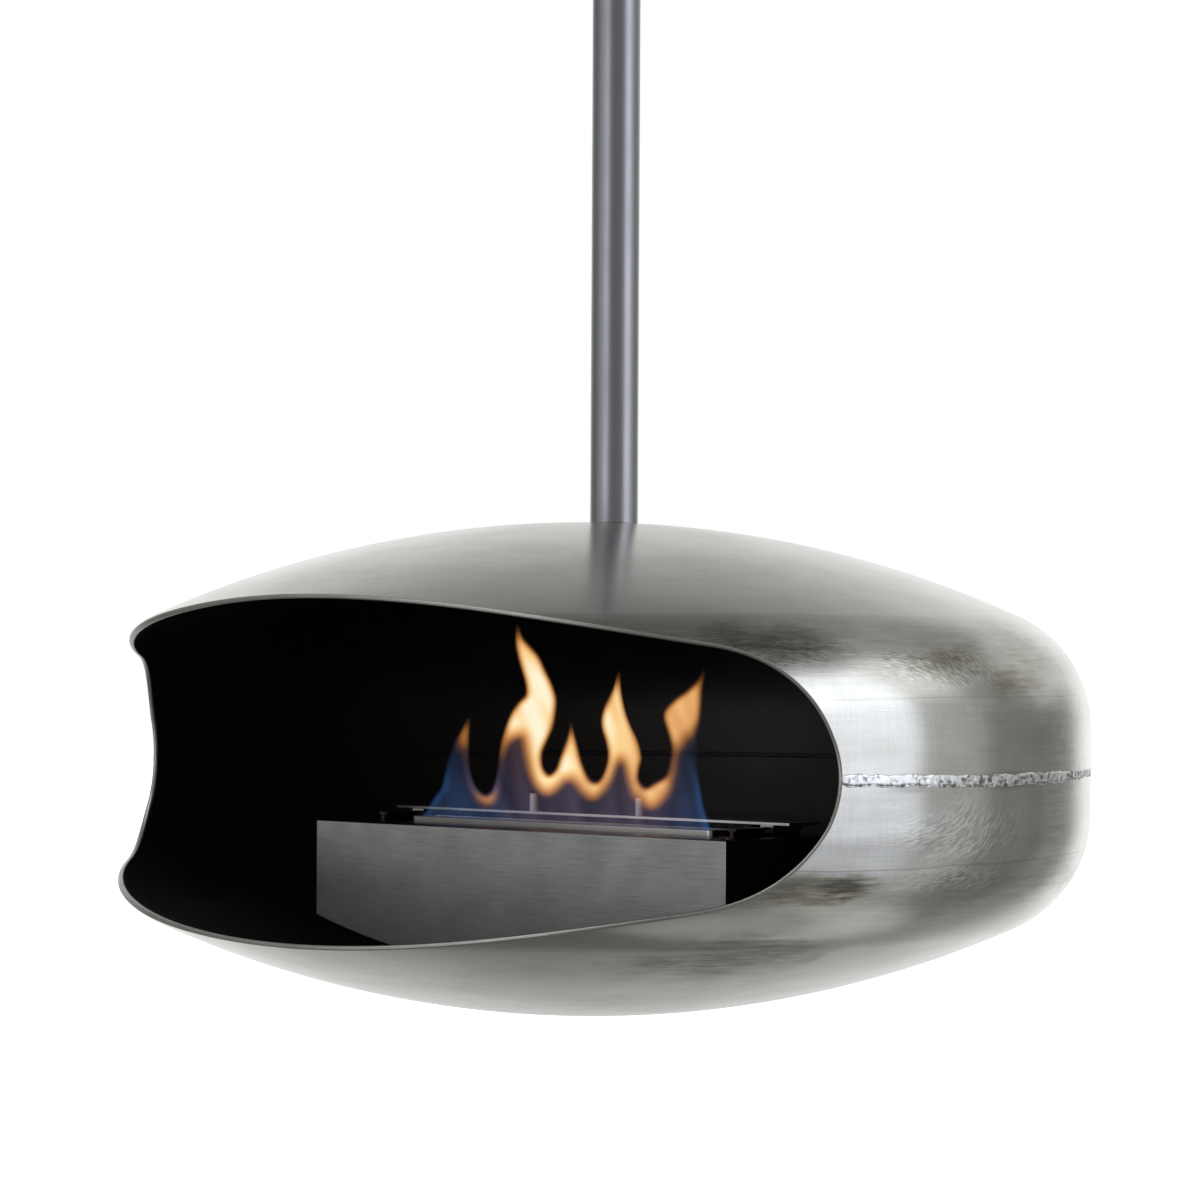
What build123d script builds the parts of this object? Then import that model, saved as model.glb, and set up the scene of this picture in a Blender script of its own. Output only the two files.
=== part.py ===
"""Hanging ethanol fireplace: two dished steel ends welded rim to rim, hung on one pole.

Frame: +Z up, -Y is the fireplace's front, X runs along the burner. The origin is the centre
of the ceiling plate's upper face, on the axis of the pole. All lengths are millimetres.
"""

from build123d import *
import math
import os

os.makedirs("parts", exist_ok=True)

# --- Driving dimensions -------------------------------------------------------------------

# Shell: two equal dished ends
SHELL_RADIUS = 500.0  # outer radius of the straight flange
SHELL_WALL = 4.0
FLANGE_HEIGHT = 42.0  # straight flange between the weld and the knuckle
KNUCKLE_RADIUS = 122.0
CROWN_RADIUS = 1040.0
CEILING_TO_DOME = 1050.0
SHELL_Y = -35.0  # shell axis ahead of the pole, which hangs it by its centre of gravity
WELD_WIDTH = 13.0
WELD_HEIGHT = 1.6
WELD_END_MARGIN = 0.3  # degrees the bead stops short of the opening's tips

# Fire opening: one straight cut through the front wall
OPENING_HALF_WIDTH = 470.0
OPENING_HALF_HEIGHT = 164.0
OPENING_RISE = 5.0  # middle of the opening above the weld
# Radii of the long arcs, the shoulders and the end; the left end was cut squarer than the right
OPENING_RIGHT_RADII = (1750.0, 100.0, 230.0)
OPENING_LEFT_RADII = (1500.0, 80.0, 300.0)

# Pole
POLE_RADIUS = 24.15
POLE_WALL = 2.9
PLUG_LENGTH = 60.0
PLUG_CLEARANCE = 4.0  # room between the plug and the dome
STUD_RADIUS = 10.0
STUD_HOLE_RADIUS = 10.5
STUD_CHAMFER = 1.5

# Stack that clamps the dome to the pole
DOUBLER_RADIUS = 80.0
DOUBLER_THICKNESS = 6.0
WASHER_RADIUS = 30.0
WASHER_THICKNESS = 8.0
DOME_NUT_FLATS = 30.0
DOME_NUT_HEIGHT = 16.0
STUD_END = 6.0  # thread showing below the nut

# Ceiling fitting
PLATE_RADIUS = 93.0
PLATE_THICKNESS = 8.0
PLATE_CHAMFER = 0.8
ANCHOR_CIRCLE_RADIUS = 75.0
ANCHOR_HOLE_RADIUS = 5.5
HUB_FLANGE_RADIUS = 55.0
HUB_FLANGE_THICKNESS = 6.0
HUB_RADIUS = 36.0
HUB_BORE_RADIUS = 28.0
HUB_BOTTOM_Z = -44.0
HUB_FLOOR = 6.0
HUB_BOLT_CIRCLE_RADIUS = 46.0
HUB_BOLT_RADIUS = 4.0
HUB_BOLT_HEAD_RADIUS = 6.5
HUB_BOLT_HEAD_HEIGHT = 8.0
HUB_BOLT_KEY_FLATS = 6.0
HUB_BOLT_GRIP = 6.0  # thread held in the ceiling plate

# Thrust bearing and spindle
RACE_OUTER_RADIUS = 23.5
RACE_THICKNESS = 3.0
BEARING_HEIGHT = 11.0
BALL_RADIUS = 3.0
BALL_CIRCLE_RADIUS = 19.5
BALL_COUNT = 14
BALL_FIT = 0.02
CAGE_FIT = 0.1
GROOVE_CLEARANCE = 0.3  # between the balls and the race that turns over them
RACE_CLEARANCE = 1.0
CAGE_THICKNESS = 2.0
SPINDLE_RADIUS = 15.0
SPINDLE_HEAD_RADIUS = 23.0
SPINDLE_HEAD_HEIGHT = 7.0
SPINDLE_SHOULDER_Z = -48.0
SPINDLE_TAIL_RADIUS = 21.0
SPINDLE_TAIL_LENGTH = 62.0
SPINDLE_TAIL_CHAMFER = 3.0
SPINDLE_HEAD_CHAMFER = 1.0
BUSH_OUTER_RADIUS = 18.0
BUSH_CLEARANCE = 0.05
POLE_TOP_Z = -49.0
CROSS_BOLT_Z = -66.0
CROSS_BOLT_RADIUS = 5.0
CROSS_BOLT_FLATS = 17.0
CROSS_BOLT_HEAD = 6.5
CROSS_NUT_HEIGHT = 8.5
CROSS_BOLT_END = 4.0

# Canopy that hides the ceiling fitting
CANOPY_RADIUS = 95.0
CANOPY_WALL = 1.5
CANOPY_DEPTH = 80.0
CANOPY_CORNER = 18.0
CANOPY_HOLE_RADIUS = 27.0
CANOPY_CEILING_GAP = 0.5
CANOPY_SCREW_COUNT = 3
CANOPY_SCREW_RADIUS = 2.0
CANOPY_SCREW_GRIP = 9.0
CANOPY_SCREW_HEAD_RADIUS = 3.8
CANOPY_SCREW_HEAD_HEIGHT = 2.2
SCREW_HEAD_TAPER = 18.0  # degrees on the side of each button head

# Burner housing, a four-sided sleeve behind a brushed fascia; depths are from the shell axis
BURNER_HALF_WIDTH = 281.0
BURNER_TOP_DROP = 60.0  # top of the burner below the weld
FASCIA_FRONT = -111.0
FASCIA_THICKNESS = 3.0
HOUSING_REAR = 49.0
HOUSING_WALL = 2.0
HOUSING_FLOOR_GAP = 38.0  # lower edges follow the bowl at this distance
LEDGE_WIDTH = 12.0
LEDGE_THICKNESS = 2.0

# Saddle brackets that carry the housing on the bowl
BRACKET_X = 150.0
BRACKET_WEB = 4.0
BRACKET_TAB_WIDTH = 40.0
BRACKET_TAB_THICKNESS = 3.0
BRACKET_TOP_DROP = 134.0
BRACKET_BOLT_DROP = 152.0
BRACKET_BOLT_SPACING = 24.0
FIXING_RADIUS = 3.0
FIXING_NUT_FLATS = 10.0
FIXING_NUT_HEIGHT = 5.0
FIXING_HEAD_RADIUS = 5.5
FIXING_HEAD_HEIGHT = 3.3
FIXING_END = 3.0

# Burner insert
TOP_PLATE_THICKNESS = 2.0
TOP_PLATE_GAP = 1.0
TANK_HALF_WIDTH = 230.0
TANK_FRONT = -85.0
TANK_REAR = 30.0
TANK_DEPTH = 60.0
TANK_WALL = 1.5
SLOT_HALF_LENGTH = 205.0
SLOT_FRONT = -46.0
SLOT_REAR = -12.0
SLOT_CORNER = 4.5
RIM_WALL = 2.5
RIM_RISE = 5.5
RIM_DROP = 6.0
WICK_LENGTH = 402.0
WICK_DEPTH = 28.0
WICK_HEIGHT = 34.0
SCREEN_THICKNESS = 1.0
SCREEN_HOLE_RADIUS = 2.2
SCREEN_HOLE_PITCH = 9.0
SCREEN_COLUMNS = 42
SCREEN_ROWS = 3
CRADLE_WALL = 1.5
CRADLE_FOOT_X = 150.0
CRADLE_FOOT_LENGTH = 12.0

# Damper: a plate that slides forward over the slot on two tee rails
DAMPER_HALF_WIDTH = 271.0
DAMPER_FRONT = -8.0
DAMPER_DEPTH = 46.0
DAMPER_THICKNESS = 3.0
DAMPER_CORNER = 2.0
DAMPER_UNDERSIDE = 10.5  # above the top plate
SEAL_GAP = 0.5  # between the seal and the rim it closes
SEAL_HALF_WIDTH = 222.0
SEAL_INSET = 2.0
POST_SPACING = 146.0
POST_RADIUS = 4.0
POST_HEIGHT = 18.0
RAIL_X = 240.0
RAIL_FRONT = -56.0
RAIL_REAR = 42.0
RAIL_STEM_WIDTH = 4.0
RAIL_HEAD_WIDTH = 10.0
RAIL_HEAD_HEIGHT = 2.5
RAIL_HEIGHT = 8.5
SHOE_WIDTH = 16.0
SHOE_UNDERSIDE = 3.2
SHOE_CLEARANCE = 0.3
SHOE_LENGTH = 40.0

# --- Dimensions worked out from them --------------------------------------------------------

crown_offset = math.sqrt(
    (CROWN_RADIUS - KNUCKLE_RADIUS) ** 2 - (SHELL_RADIUS - KNUCKLE_RADIUS) ** 2
)
HALF_HEIGHT = FLANGE_HEIGHT + CROWN_RADIUS - crown_offset
EQUATOR_Z = -(CEILING_TO_DOME + HALF_HEIGHT)
DOME_CENTRE = (0, SHELL_Y, EQUATOR_Z + HALF_HEIGHT - CROWN_RADIUS)
BOWL_CENTRE = (0, SHELL_Y, EQUATOR_Z - HALF_HEIGHT + CROWN_RADIUS)
SHELL_AXIS = Axis((0, SHELL_Y, 0), (0, 0, 1))
POLE_FOOT_Z = DOME_CENTRE[2] + math.sqrt(CROWN_RADIUS**2 - SHELL_Y**2)
POLE_BORE_RADIUS = POLE_RADIUS - POLE_WALL
HUB_FLOOR_Z = HUB_BOTTOM_Z + HUB_FLOOR
BEARING_TOP_Z = HUB_FLOOR_Z + BEARING_HEIGHT
BURNER_TOP_Z = EQUATOR_Z - BURNER_TOP_DROP
HOUSING_FRONT = FASCIA_FRONT + FASCIA_THICKNESS
DAMPER_TRAVEL = DAMPER_FRONT + DAMPER_DEPTH / 2 - (SLOT_FRONT + SLOT_REAR) / 2


# --- Shared shapes --------------------------------------------------------------------------


def keep(block, label):
    """Name a finished sub-part and write it to its own STEP file."""
    block.part.label = label
    export_step(block.part, f"parts/{label}.step")


def block_between(x_range, y_range, z_range, mode=Mode.ADD):
    """A square block between two X, two Y (from the shell axis) and two Z values."""
    middle = (
        (x_range[0] + x_range[1]) / 2,
        (y_range[0] + y_range[1]) / 2 + SHELL_Y,
        (z_range[0] + z_range[1]) / 2,
    )
    with Locations(middle):
        Box(x_range[1] - x_range[0], y_range[1] - y_range[0], z_range[1] - z_range[0], mode=mode)


def disc(radius, z_low, z_high, mode=Mode.ADD):
    """A round disc or hole on the pole's axis."""
    with BuildSketch(Plane.XY.offset(z_low)) as outline:
        Circle(radius)
    extrude(outline.sketch, amount=z_high - z_low, mode=mode)


def dish_arcs(inset):
    """Corner points of a dished end's profile, `inset` inside its outer face, as (r, height)."""
    knuckle_radius = KNUCKLE_RADIUS - inset
    crown_radius = CROWN_RADIUS - inset
    knuckle = Vector(SHELL_RADIUS - KNUCKLE_RADIUS, FLANGE_HEIGHT)
    crown = Vector(0, HALF_HEIGHT - CROWN_RADIUS)
    toward_knuckle = (knuckle - crown).normalized()
    tangent_angle = math.degrees(math.atan2(toward_knuckle.Y, toward_knuckle.X))
    knuckle_middle = knuckle + Vector(knuckle_radius, 0).rotate(Axis.Z, tangent_angle / 2)
    tangent = crown + toward_knuckle * crown_radius
    crown_middle = crown + Vector(crown_radius, 0).rotate(Axis.Z, (tangent_angle + 90) / 2)
    rim = Vector(SHELL_RADIUS - inset, 0)
    flange_end = Vector(SHELL_RADIUS - inset, FLANGE_HEIGHT)
    apex = Vector(0, HALF_HEIGHT - inset)
    return rim, flange_end, knuckle_middle, tangent, crown_middle, apex


def dished_end(facing):
    """Revolve one pressed end; `facing` is +1 for the dome and -1 for the bowl."""
    outer = dish_arcs(0)
    inner = dish_arcs(SHELL_WALL)
    section = Plane(
        origin=(0, SHELL_Y, EQUATOR_Z), x_dir=(1, 0, 0), z_dir=(0, -facing, 0)
    )
    with BuildSketch(section) as profile:
        with BuildLine():
            for rim, flange_end, knuckle_middle, tangent, crown_middle, apex in (outer, inner):
                Line(rim, flange_end)
                ThreePointArc(flange_end, knuckle_middle, tangent)
                ThreePointArc(tangent, crown_middle, apex)
            Line(outer[0], inner[0])
            Line(outer[-1], inner[-1])
        make_face()
    revolve(profile.sketch, axis=SHELL_AXIS)


def quarter_arcs(side, crown_radius, shoulder_radius, end_radius):
    """Start, middle and end of the three arcs in one upper quarter of the opening, right or left."""
    crown = Vector(0, OPENING_HALF_HEIGHT - crown_radius)
    end = Vector(OPENING_HALF_WIDTH - end_radius, 0)
    # The shoulder arc touches both other arcs from inside, so its centre is where two circles meet
    crown_reach = crown_radius - shoulder_radius
    end_reach = end_radius - shoulder_radius
    between = end - crown
    along = (between.length**2 + crown_reach**2 - end_reach**2) / (2 * between.length)
    across = math.sqrt(crown_reach**2 - along**2)
    unit = between.normalized()
    shoulder = crown + unit * along + Vector(unit.Y, -unit.X) * across
    top = Vector(0, OPENING_HALF_HEIGHT)
    crown_end = crown + (shoulder - crown).normalized() * crown_radius
    shoulder_end = end + (shoulder - end).normalized() * end_radius
    shoulder_chord = (crown_end - shoulder) + (shoulder_end - shoulder)
    shoulder_middle = shoulder + shoulder_chord.normalized() * shoulder_radius
    crown_middle = crown + ((top - crown) + (crown_end - crown)).normalized() * crown_radius
    tip = Vector(OPENING_HALF_WIDTH, 0)
    end_middle = end + ((shoulder_end - end) + (tip - end)).normalized() * end_radius
    arcs = (
        (top, crown_middle, crown_end),
        (crown_end, shoulder_middle, shoulder_end),
        (shoulder_end, end_middle, tip),
    )
    return [[Vector(side * point.X, point.Y) for point in arc] for arc in arcs]


def cut_fire_opening():
    """Cut the fire opening straight through the front wall."""
    arcs = quarter_arcs(1, *OPENING_RIGHT_RADII) + quarter_arcs(-1, *OPENING_LEFT_RADII)
    front = Plane(origin=(0, SHELL_Y, EQUATOR_Z + OPENING_RISE), x_dir=(1, 0, 0), z_dir=(0, -1, 0))
    with BuildSketch(front) as outline:
        with BuildLine():
            for arc in arcs:
                ThreePointArc(*arc)
            mirror(about=Plane.XZ)
        make_face()
    extrude(outline.sketch, amount=2 * SHELL_RADIUS, mode=Mode.SUBTRACT)


def follow_sphere(centre, radius, mode):
    """Trim the part in hand to a sphere, such as the inside of the bowl."""
    with Locations(centre):
        Sphere(radius, mode=mode)


def hexagon(flats, plane, height):
    """A plain hexagonal nut or bolt head standing on a plane."""
    with BuildSketch(plane) as outline:
        RegularPolygon(radius=flats / 2, side_count=6, major_radius=False)
    extrude(outline.sketch, amount=height)


# --- Ceiling fitting ------------------------------------------------------------------------

with BuildPart() as ceiling_plate:
    disc(PLATE_RADIUS, -PLATE_THICKNESS, 0)
    with PolarLocations(ANCHOR_CIRCLE_RADIUS, 4, start_angle=45):
        Hole(ANCHOR_HOLE_RADIUS, depth=2 * PLATE_THICKNESS)
    with BuildSketch(Plane.XY.offset(-PLATE_THICKNESS)):
        with PolarLocations(HUB_BOLT_CIRCLE_RADIUS, 4):
            Circle(HUB_BOLT_RADIUS)
    extrude(amount=HUB_BOLT_GRIP, mode=Mode.SUBTRACT)
    for turn in range(CANOPY_SCREW_COUNT):
        edge = Plane.XZ.rotated((0, 0, 360 / CANOPY_SCREW_COUNT * turn))
        with BuildSketch(edge.offset(PLATE_RADIUS - CANOPY_SCREW_GRIP)):
            with Locations((0, -PLATE_THICKNESS / 2)):
                Circle(CANOPY_SCREW_RADIUS)
        extrude(amount=2 * CANOPY_SCREW_GRIP, mode=Mode.SUBTRACT)
    lower_edges = ceiling_plate.edges().filter_by(GeomType.CIRCLE).group_by(Axis.Z)[0]
    chamfer(lower_edges.sort_by(SortBy.RADIUS)[-1], PLATE_CHAMFER)
keep(ceiling_plate, "ceiling_plate")

with BuildPart() as bearing_hub:
    disc(HUB_FLANGE_RADIUS, -PLATE_THICKNESS - HUB_FLANGE_THICKNESS, -PLATE_THICKNESS)
    disc(HUB_RADIUS, HUB_BOTTOM_Z, -PLATE_THICKNESS)
    disc(HUB_BORE_RADIUS, HUB_FLOOR_Z, -PLATE_THICKNESS, mode=Mode.SUBTRACT)
    disc(BUSH_OUTER_RADIUS, HUB_BOTTOM_Z, HUB_FLOOR_Z, mode=Mode.SUBTRACT)
    with BuildSketch(Plane.XY.offset(-PLATE_THICKNESS - HUB_FLANGE_THICKNESS)):
        with PolarLocations(HUB_BOLT_CIRCLE_RADIUS, 4):
            Circle(HUB_BOLT_RADIUS)
    extrude(amount=HUB_FLANGE_THICKNESS, mode=Mode.SUBTRACT)
keep(bearing_hub, "bearing_hub")

with BuildPart() as hub_bolts:
    with BuildSketch(Plane.XY.offset(-PLATE_THICKNESS - HUB_FLANGE_THICKNESS)):
        with PolarLocations(HUB_BOLT_CIRCLE_RADIUS, 4):
            Circle(HUB_BOLT_HEAD_RADIUS)
    extrude(amount=-HUB_BOLT_HEAD_HEIGHT)
    with BuildSketch(Plane.XY.offset(-PLATE_THICKNESS - HUB_FLANGE_THICKNESS)):
        with PolarLocations(HUB_BOLT_CIRCLE_RADIUS, 4):
            Circle(HUB_BOLT_RADIUS)
    extrude(amount=HUB_FLANGE_THICKNESS + HUB_BOLT_GRIP)
    hub_bolt_face_z = -PLATE_THICKNESS - HUB_FLANGE_THICKNESS - HUB_BOLT_HEAD_HEIGHT
    with BuildSketch(Plane.XY.offset(hub_bolt_face_z)):
        with PolarLocations(HUB_BOLT_CIRCLE_RADIUS, 4):
            RegularPolygon(radius=HUB_BOLT_KEY_FLATS / 2, side_count=6, major_radius=False)
    extrude(amount=HUB_BOLT_HEAD_HEIGHT / 2, mode=Mode.SUBTRACT)
keep(hub_bolts, "hub_bolts")

with BuildPart() as guide_bush:
    disc(BUSH_OUTER_RADIUS, HUB_BOTTOM_Z, HUB_FLOOR_Z)
    disc(SPINDLE_RADIUS + BUSH_CLEARANCE, HUB_BOTTOM_Z, HUB_FLOOR_Z, mode=Mode.SUBTRACT)
keep(guide_bush, "guide_bush")

with BuildPart() as canopy:
    disc(CANOPY_RADIUS, -CANOPY_DEPTH, -CANOPY_CEILING_GAP)
    fillet(canopy.edges().group_by(Axis.Z)[0], CANOPY_CORNER)
    offset(amount=-CANOPY_WALL, openings=canopy.faces().sort_by(Axis.Z)[-1])
    disc(CANOPY_HOLE_RADIUS, -2 * CANOPY_DEPTH, -CANOPY_DEPTH / 2, mode=Mode.SUBTRACT)
    for turn in range(CANOPY_SCREW_COUNT):
        edge = Plane.XZ.rotated((0, 0, 360 / CANOPY_SCREW_COUNT * turn))
        with BuildSketch(edge.offset(PLATE_RADIUS)):
            with Locations((0, -PLATE_THICKNESS / 2)):
                Circle(CANOPY_SCREW_RADIUS)
        extrude(amount=2 * CANOPY_SCREW_GRIP, mode=Mode.SUBTRACT)
keep(canopy, "canopy")

with BuildPart() as canopy_screws:
    for turn in range(CANOPY_SCREW_COUNT):
        edge = Plane.XZ.rotated((0, 0, 360 / CANOPY_SCREW_COUNT * turn))
        with BuildSketch(edge.offset(PLATE_RADIUS - CANOPY_SCREW_GRIP)):
            with Locations((0, -PLATE_THICKNESS / 2)):
                Circle(CANOPY_SCREW_RADIUS)
        extrude(amount=CANOPY_RADIUS - PLATE_RADIUS + CANOPY_SCREW_GRIP)
        with BuildSketch(edge.offset(CANOPY_RADIUS)):
            with Locations((0, -PLATE_THICKNESS / 2)):
                Circle(CANOPY_SCREW_HEAD_RADIUS)
        extrude(amount=CANOPY_SCREW_HEAD_HEIGHT, taper=SCREW_HEAD_TAPER)
keep(canopy_screws, "canopy_screws")

# --- Thrust bearing -------------------------------------------------------------------------

ball_centre_z = (HUB_FLOOR_Z + BEARING_TOP_Z) / 2

with BuildPart() as lower_race:
    disc(RACE_OUTER_RADIUS, HUB_FLOOR_Z, HUB_FLOOR_Z + RACE_THICKNESS)
    disc(SPINDLE_RADIUS + RACE_CLEARANCE, HUB_FLOOR_Z, HUB_FLOOR_Z + RACE_THICKNESS, mode=Mode.SUBTRACT)
    with Locations((0, 0, ball_centre_z)):
        Torus(BALL_CIRCLE_RADIUS, BALL_RADIUS + BALL_FIT, mode=Mode.SUBTRACT)
keep(lower_race, "lower_race")

with BuildPart() as bearing_balls:
    with Locations((0, 0, ball_centre_z)):
        with PolarLocations(BALL_CIRCLE_RADIUS, BALL_COUNT):
            Sphere(BALL_RADIUS)
keep(bearing_balls, "bearing_balls")

with BuildPart() as bearing_cage:
    cage_low = ball_centre_z - CAGE_THICKNESS / 2
    cage_high = ball_centre_z + CAGE_THICKNESS / 2
    disc(RACE_OUTER_RADIUS - RACE_CLEARANCE, cage_low, cage_high)
    disc(SPINDLE_RADIUS + RACE_CLEARANCE, cage_low, cage_high, mode=Mode.SUBTRACT)
    with Locations((0, 0, ball_centre_z)):
        with PolarLocations(BALL_CIRCLE_RADIUS, BALL_COUNT):
            Sphere(BALL_RADIUS + CAGE_FIT, mode=Mode.SUBTRACT)
keep(bearing_cage, "bearing_cage")

with BuildPart() as upper_race:
    disc(RACE_OUTER_RADIUS, BEARING_TOP_Z - RACE_THICKNESS, BEARING_TOP_Z)
    disc(SPINDLE_RADIUS, BEARING_TOP_Z - RACE_THICKNESS, BEARING_TOP_Z, mode=Mode.SUBTRACT)
    with Locations((0, 0, ball_centre_z)):
        Torus(BALL_CIRCLE_RADIUS, BALL_RADIUS + GROOVE_CLEARANCE, mode=Mode.SUBTRACT)
keep(upper_race, "upper_race")

# --- Spindle and pole -----------------------------------------------------------------------

spindle_tail_z = SPINDLE_SHOULDER_Z - SPINDLE_TAIL_LENGTH
cross_bolt_plane = Plane(origin=(0, 0, CROSS_BOLT_Z), x_dir=(0, 1, 0), z_dir=(1, 0, 0))

with BuildPart() as spindle:
    disc(SPINDLE_HEAD_RADIUS, BEARING_TOP_Z, BEARING_TOP_Z + SPINDLE_HEAD_HEIGHT)
    disc(SPINDLE_RADIUS, SPINDLE_SHOULDER_Z, BEARING_TOP_Z)
    disc(SPINDLE_TAIL_RADIUS, spindle_tail_z, SPINDLE_SHOULDER_Z)
    chamfer(spindle.edges().group_by(Axis.Z)[0], SPINDLE_TAIL_CHAMFER)
    chamfer(spindle.edges().group_by(Axis.Z)[-1], SPINDLE_HEAD_CHAMFER)
    with BuildSketch(cross_bolt_plane):
        Circle(CROSS_BOLT_RADIUS)
    extrude(amount=2 * POLE_RADIUS, both=True, mode=Mode.SUBTRACT)
keep(spindle, "spindle")

with BuildPart() as pole_tube:
    disc(POLE_RADIUS, POLE_FOOT_Z - POLE_RADIUS, POLE_TOP_Z)
    disc(POLE_BORE_RADIUS, POLE_FOOT_Z - POLE_RADIUS, POLE_TOP_Z, mode=Mode.SUBTRACT)
    follow_sphere(DOME_CENTRE, CROWN_RADIUS, Mode.SUBTRACT)
    with BuildSketch(cross_bolt_plane):
        Circle(CROSS_BOLT_RADIUS)
    extrude(amount=2 * POLE_RADIUS, both=True, mode=Mode.SUBTRACT)
keep(pole_tube, "pole_tube")

with BuildPart() as cross_bolt:
    hexagon(CROSS_BOLT_FLATS, cross_bolt_plane.offset(POLE_RADIUS), CROSS_BOLT_HEAD)
    with BuildSketch(cross_bolt_plane.offset(POLE_RADIUS)):
        Circle(CROSS_BOLT_RADIUS)
    extrude(amount=-(2 * POLE_RADIUS + CROSS_NUT_HEIGHT + CROSS_BOLT_END))
keep(cross_bolt, "cross_bolt")

with BuildPart() as cross_nut:
    cross_nut_plane = cross_bolt_plane.offset(-POLE_RADIUS - CROSS_NUT_HEIGHT)
    hexagon(CROSS_BOLT_FLATS, cross_nut_plane, CROSS_NUT_HEIGHT)
    with BuildSketch(cross_nut_plane):
        Circle(CROSS_BOLT_RADIUS)
    extrude(amount=CROSS_NUT_HEIGHT, mode=Mode.SUBTRACT)
keep(cross_nut, "cross_nut")

washer_bottom_z = POLE_FOOT_Z - SHELL_WALL - DOUBLER_THICKNESS - WASHER_THICKNESS
stud_bottom_z = washer_bottom_z - DOME_NUT_HEIGHT - STUD_END

with BuildPart() as pole_plug:
    disc(POLE_BORE_RADIUS, POLE_FOOT_Z + PLUG_CLEARANCE, POLE_FOOT_Z + PLUG_CLEARANCE + PLUG_LENGTH)
    disc(STUD_RADIUS, stud_bottom_z, POLE_FOOT_Z + PLUG_CLEARANCE)
    chamfer(pole_plug.edges().group_by(Axis.Z)[0], STUD_CHAMFER)
keep(pole_plug, "pole_plug")

with BuildPart() as dome_doubler:
    disc(DOUBLER_RADIUS, washer_bottom_z, POLE_FOOT_Z)
    follow_sphere(DOME_CENTRE, CROWN_RADIUS - SHELL_WALL, Mode.INTERSECT)
    follow_sphere(DOME_CENTRE, CROWN_RADIUS - SHELL_WALL - DOUBLER_THICKNESS, Mode.SUBTRACT)
    disc(STUD_HOLE_RADIUS, stud_bottom_z, POLE_FOOT_Z, mode=Mode.SUBTRACT)
keep(dome_doubler, "dome_doubler")

with BuildPart() as saddle_washer:
    disc(WASHER_RADIUS, washer_bottom_z, POLE_FOOT_Z)
    follow_sphere(DOME_CENTRE, CROWN_RADIUS - SHELL_WALL - DOUBLER_THICKNESS, Mode.INTERSECT)
    disc(STUD_HOLE_RADIUS, washer_bottom_z, POLE_FOOT_Z, mode=Mode.SUBTRACT)
keep(saddle_washer, "saddle_washer")

with BuildPart() as dome_nut:
    hexagon(DOME_NUT_FLATS, Plane.XY.offset(washer_bottom_z - DOME_NUT_HEIGHT), DOME_NUT_HEIGHT)
    disc(STUD_RADIUS, washer_bottom_z - DOME_NUT_HEIGHT, washer_bottom_z, mode=Mode.SUBTRACT)
keep(dome_nut, "dome_nut")

# --- Shell ----------------------------------------------------------------------------------

with BuildPart() as upper_shell:
    dished_end(+1)
    cut_fire_opening()
    disc(STUD_HOLE_RADIUS, POLE_FOOT_Z - 5 * SHELL_WALL, POLE_FOOT_Z + SHELL_WALL, mode=Mode.SUBTRACT)
keep(upper_shell, "upper_shell")

with BuildPart() as lower_shell:
    dished_end(-1)
    cut_fire_opening()
keep(lower_shell, "lower_shell")

# The bead starts and ends where the opening's two tips cut the weld line
weld_end = math.acos(OPENING_HALF_WIDTH / SHELL_RADIUS) - math.radians(WELD_END_MARGIN)
weld_section = Plane(
    origin=(0, SHELL_Y, EQUATOR_Z),
    x_dir=(math.cos(weld_end), -math.sin(weld_end), 0),
    z_dir=(-math.sin(weld_end), -math.cos(weld_end), 0),
)

with BuildPart() as seam_weld:
    with BuildSketch(weld_section):
        with BuildLine():
            bead_top = Vector(SHELL_RADIUS, WELD_WIDTH / 2)
            bead_bottom = Vector(SHELL_RADIUS, -WELD_WIDTH / 2)
            ThreePointArc(bead_top, (SHELL_RADIUS + WELD_HEIGHT, 0), bead_bottom)
            Line(bead_bottom, bead_top)
        make_face()
    revolve(axis=SHELL_AXIS, revolution_arc=180 + 2 * math.degrees(weld_end))
keep(seam_weld, "seam_weld")

# --- Burner housing -------------------------------------------------------------------------

edge_radius = CROWN_RADIUS - SHELL_WALL - HOUSING_FLOOR_GAP
bracket_bolts_z = EQUATOR_Z - BRACKET_BOLT_DROP
bolt_places = [
    (side * BRACKET_X + offset_x, bracket_bolts_z)
    for side in (-1, 1)
    for offset_x in (-BRACKET_BOLT_SPACING / 2, BRACKET_BOLT_SPACING / 2)
]


def front_plane(depth):
    """A plane that faces forward, at a depth counted from the shell axis."""
    return Plane.XZ.offset(-(SHELL_Y + depth))


def bolt_holes(depth_low, depth_high):
    """Drill the bracket fixings through whatever stands between two depths."""
    with BuildSketch(front_plane(depth_high)) as holes:
        with Locations(*bolt_places):
            Circle(FIXING_RADIUS)
    extrude(holes.sketch, amount=depth_high - depth_low, mode=Mode.SUBTRACT)


with BuildPart() as burner_fascia:
    block_between(
        (-BURNER_HALF_WIDTH, BURNER_HALF_WIDTH),
        (FASCIA_FRONT, HOUSING_FRONT),
        (EQUATOR_Z - HALF_HEIGHT, BURNER_TOP_Z),
    )
    follow_sphere(BOWL_CENTRE, edge_radius, Mode.INTERSECT)
keep(burner_fascia, "burner_fascia")

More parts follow.
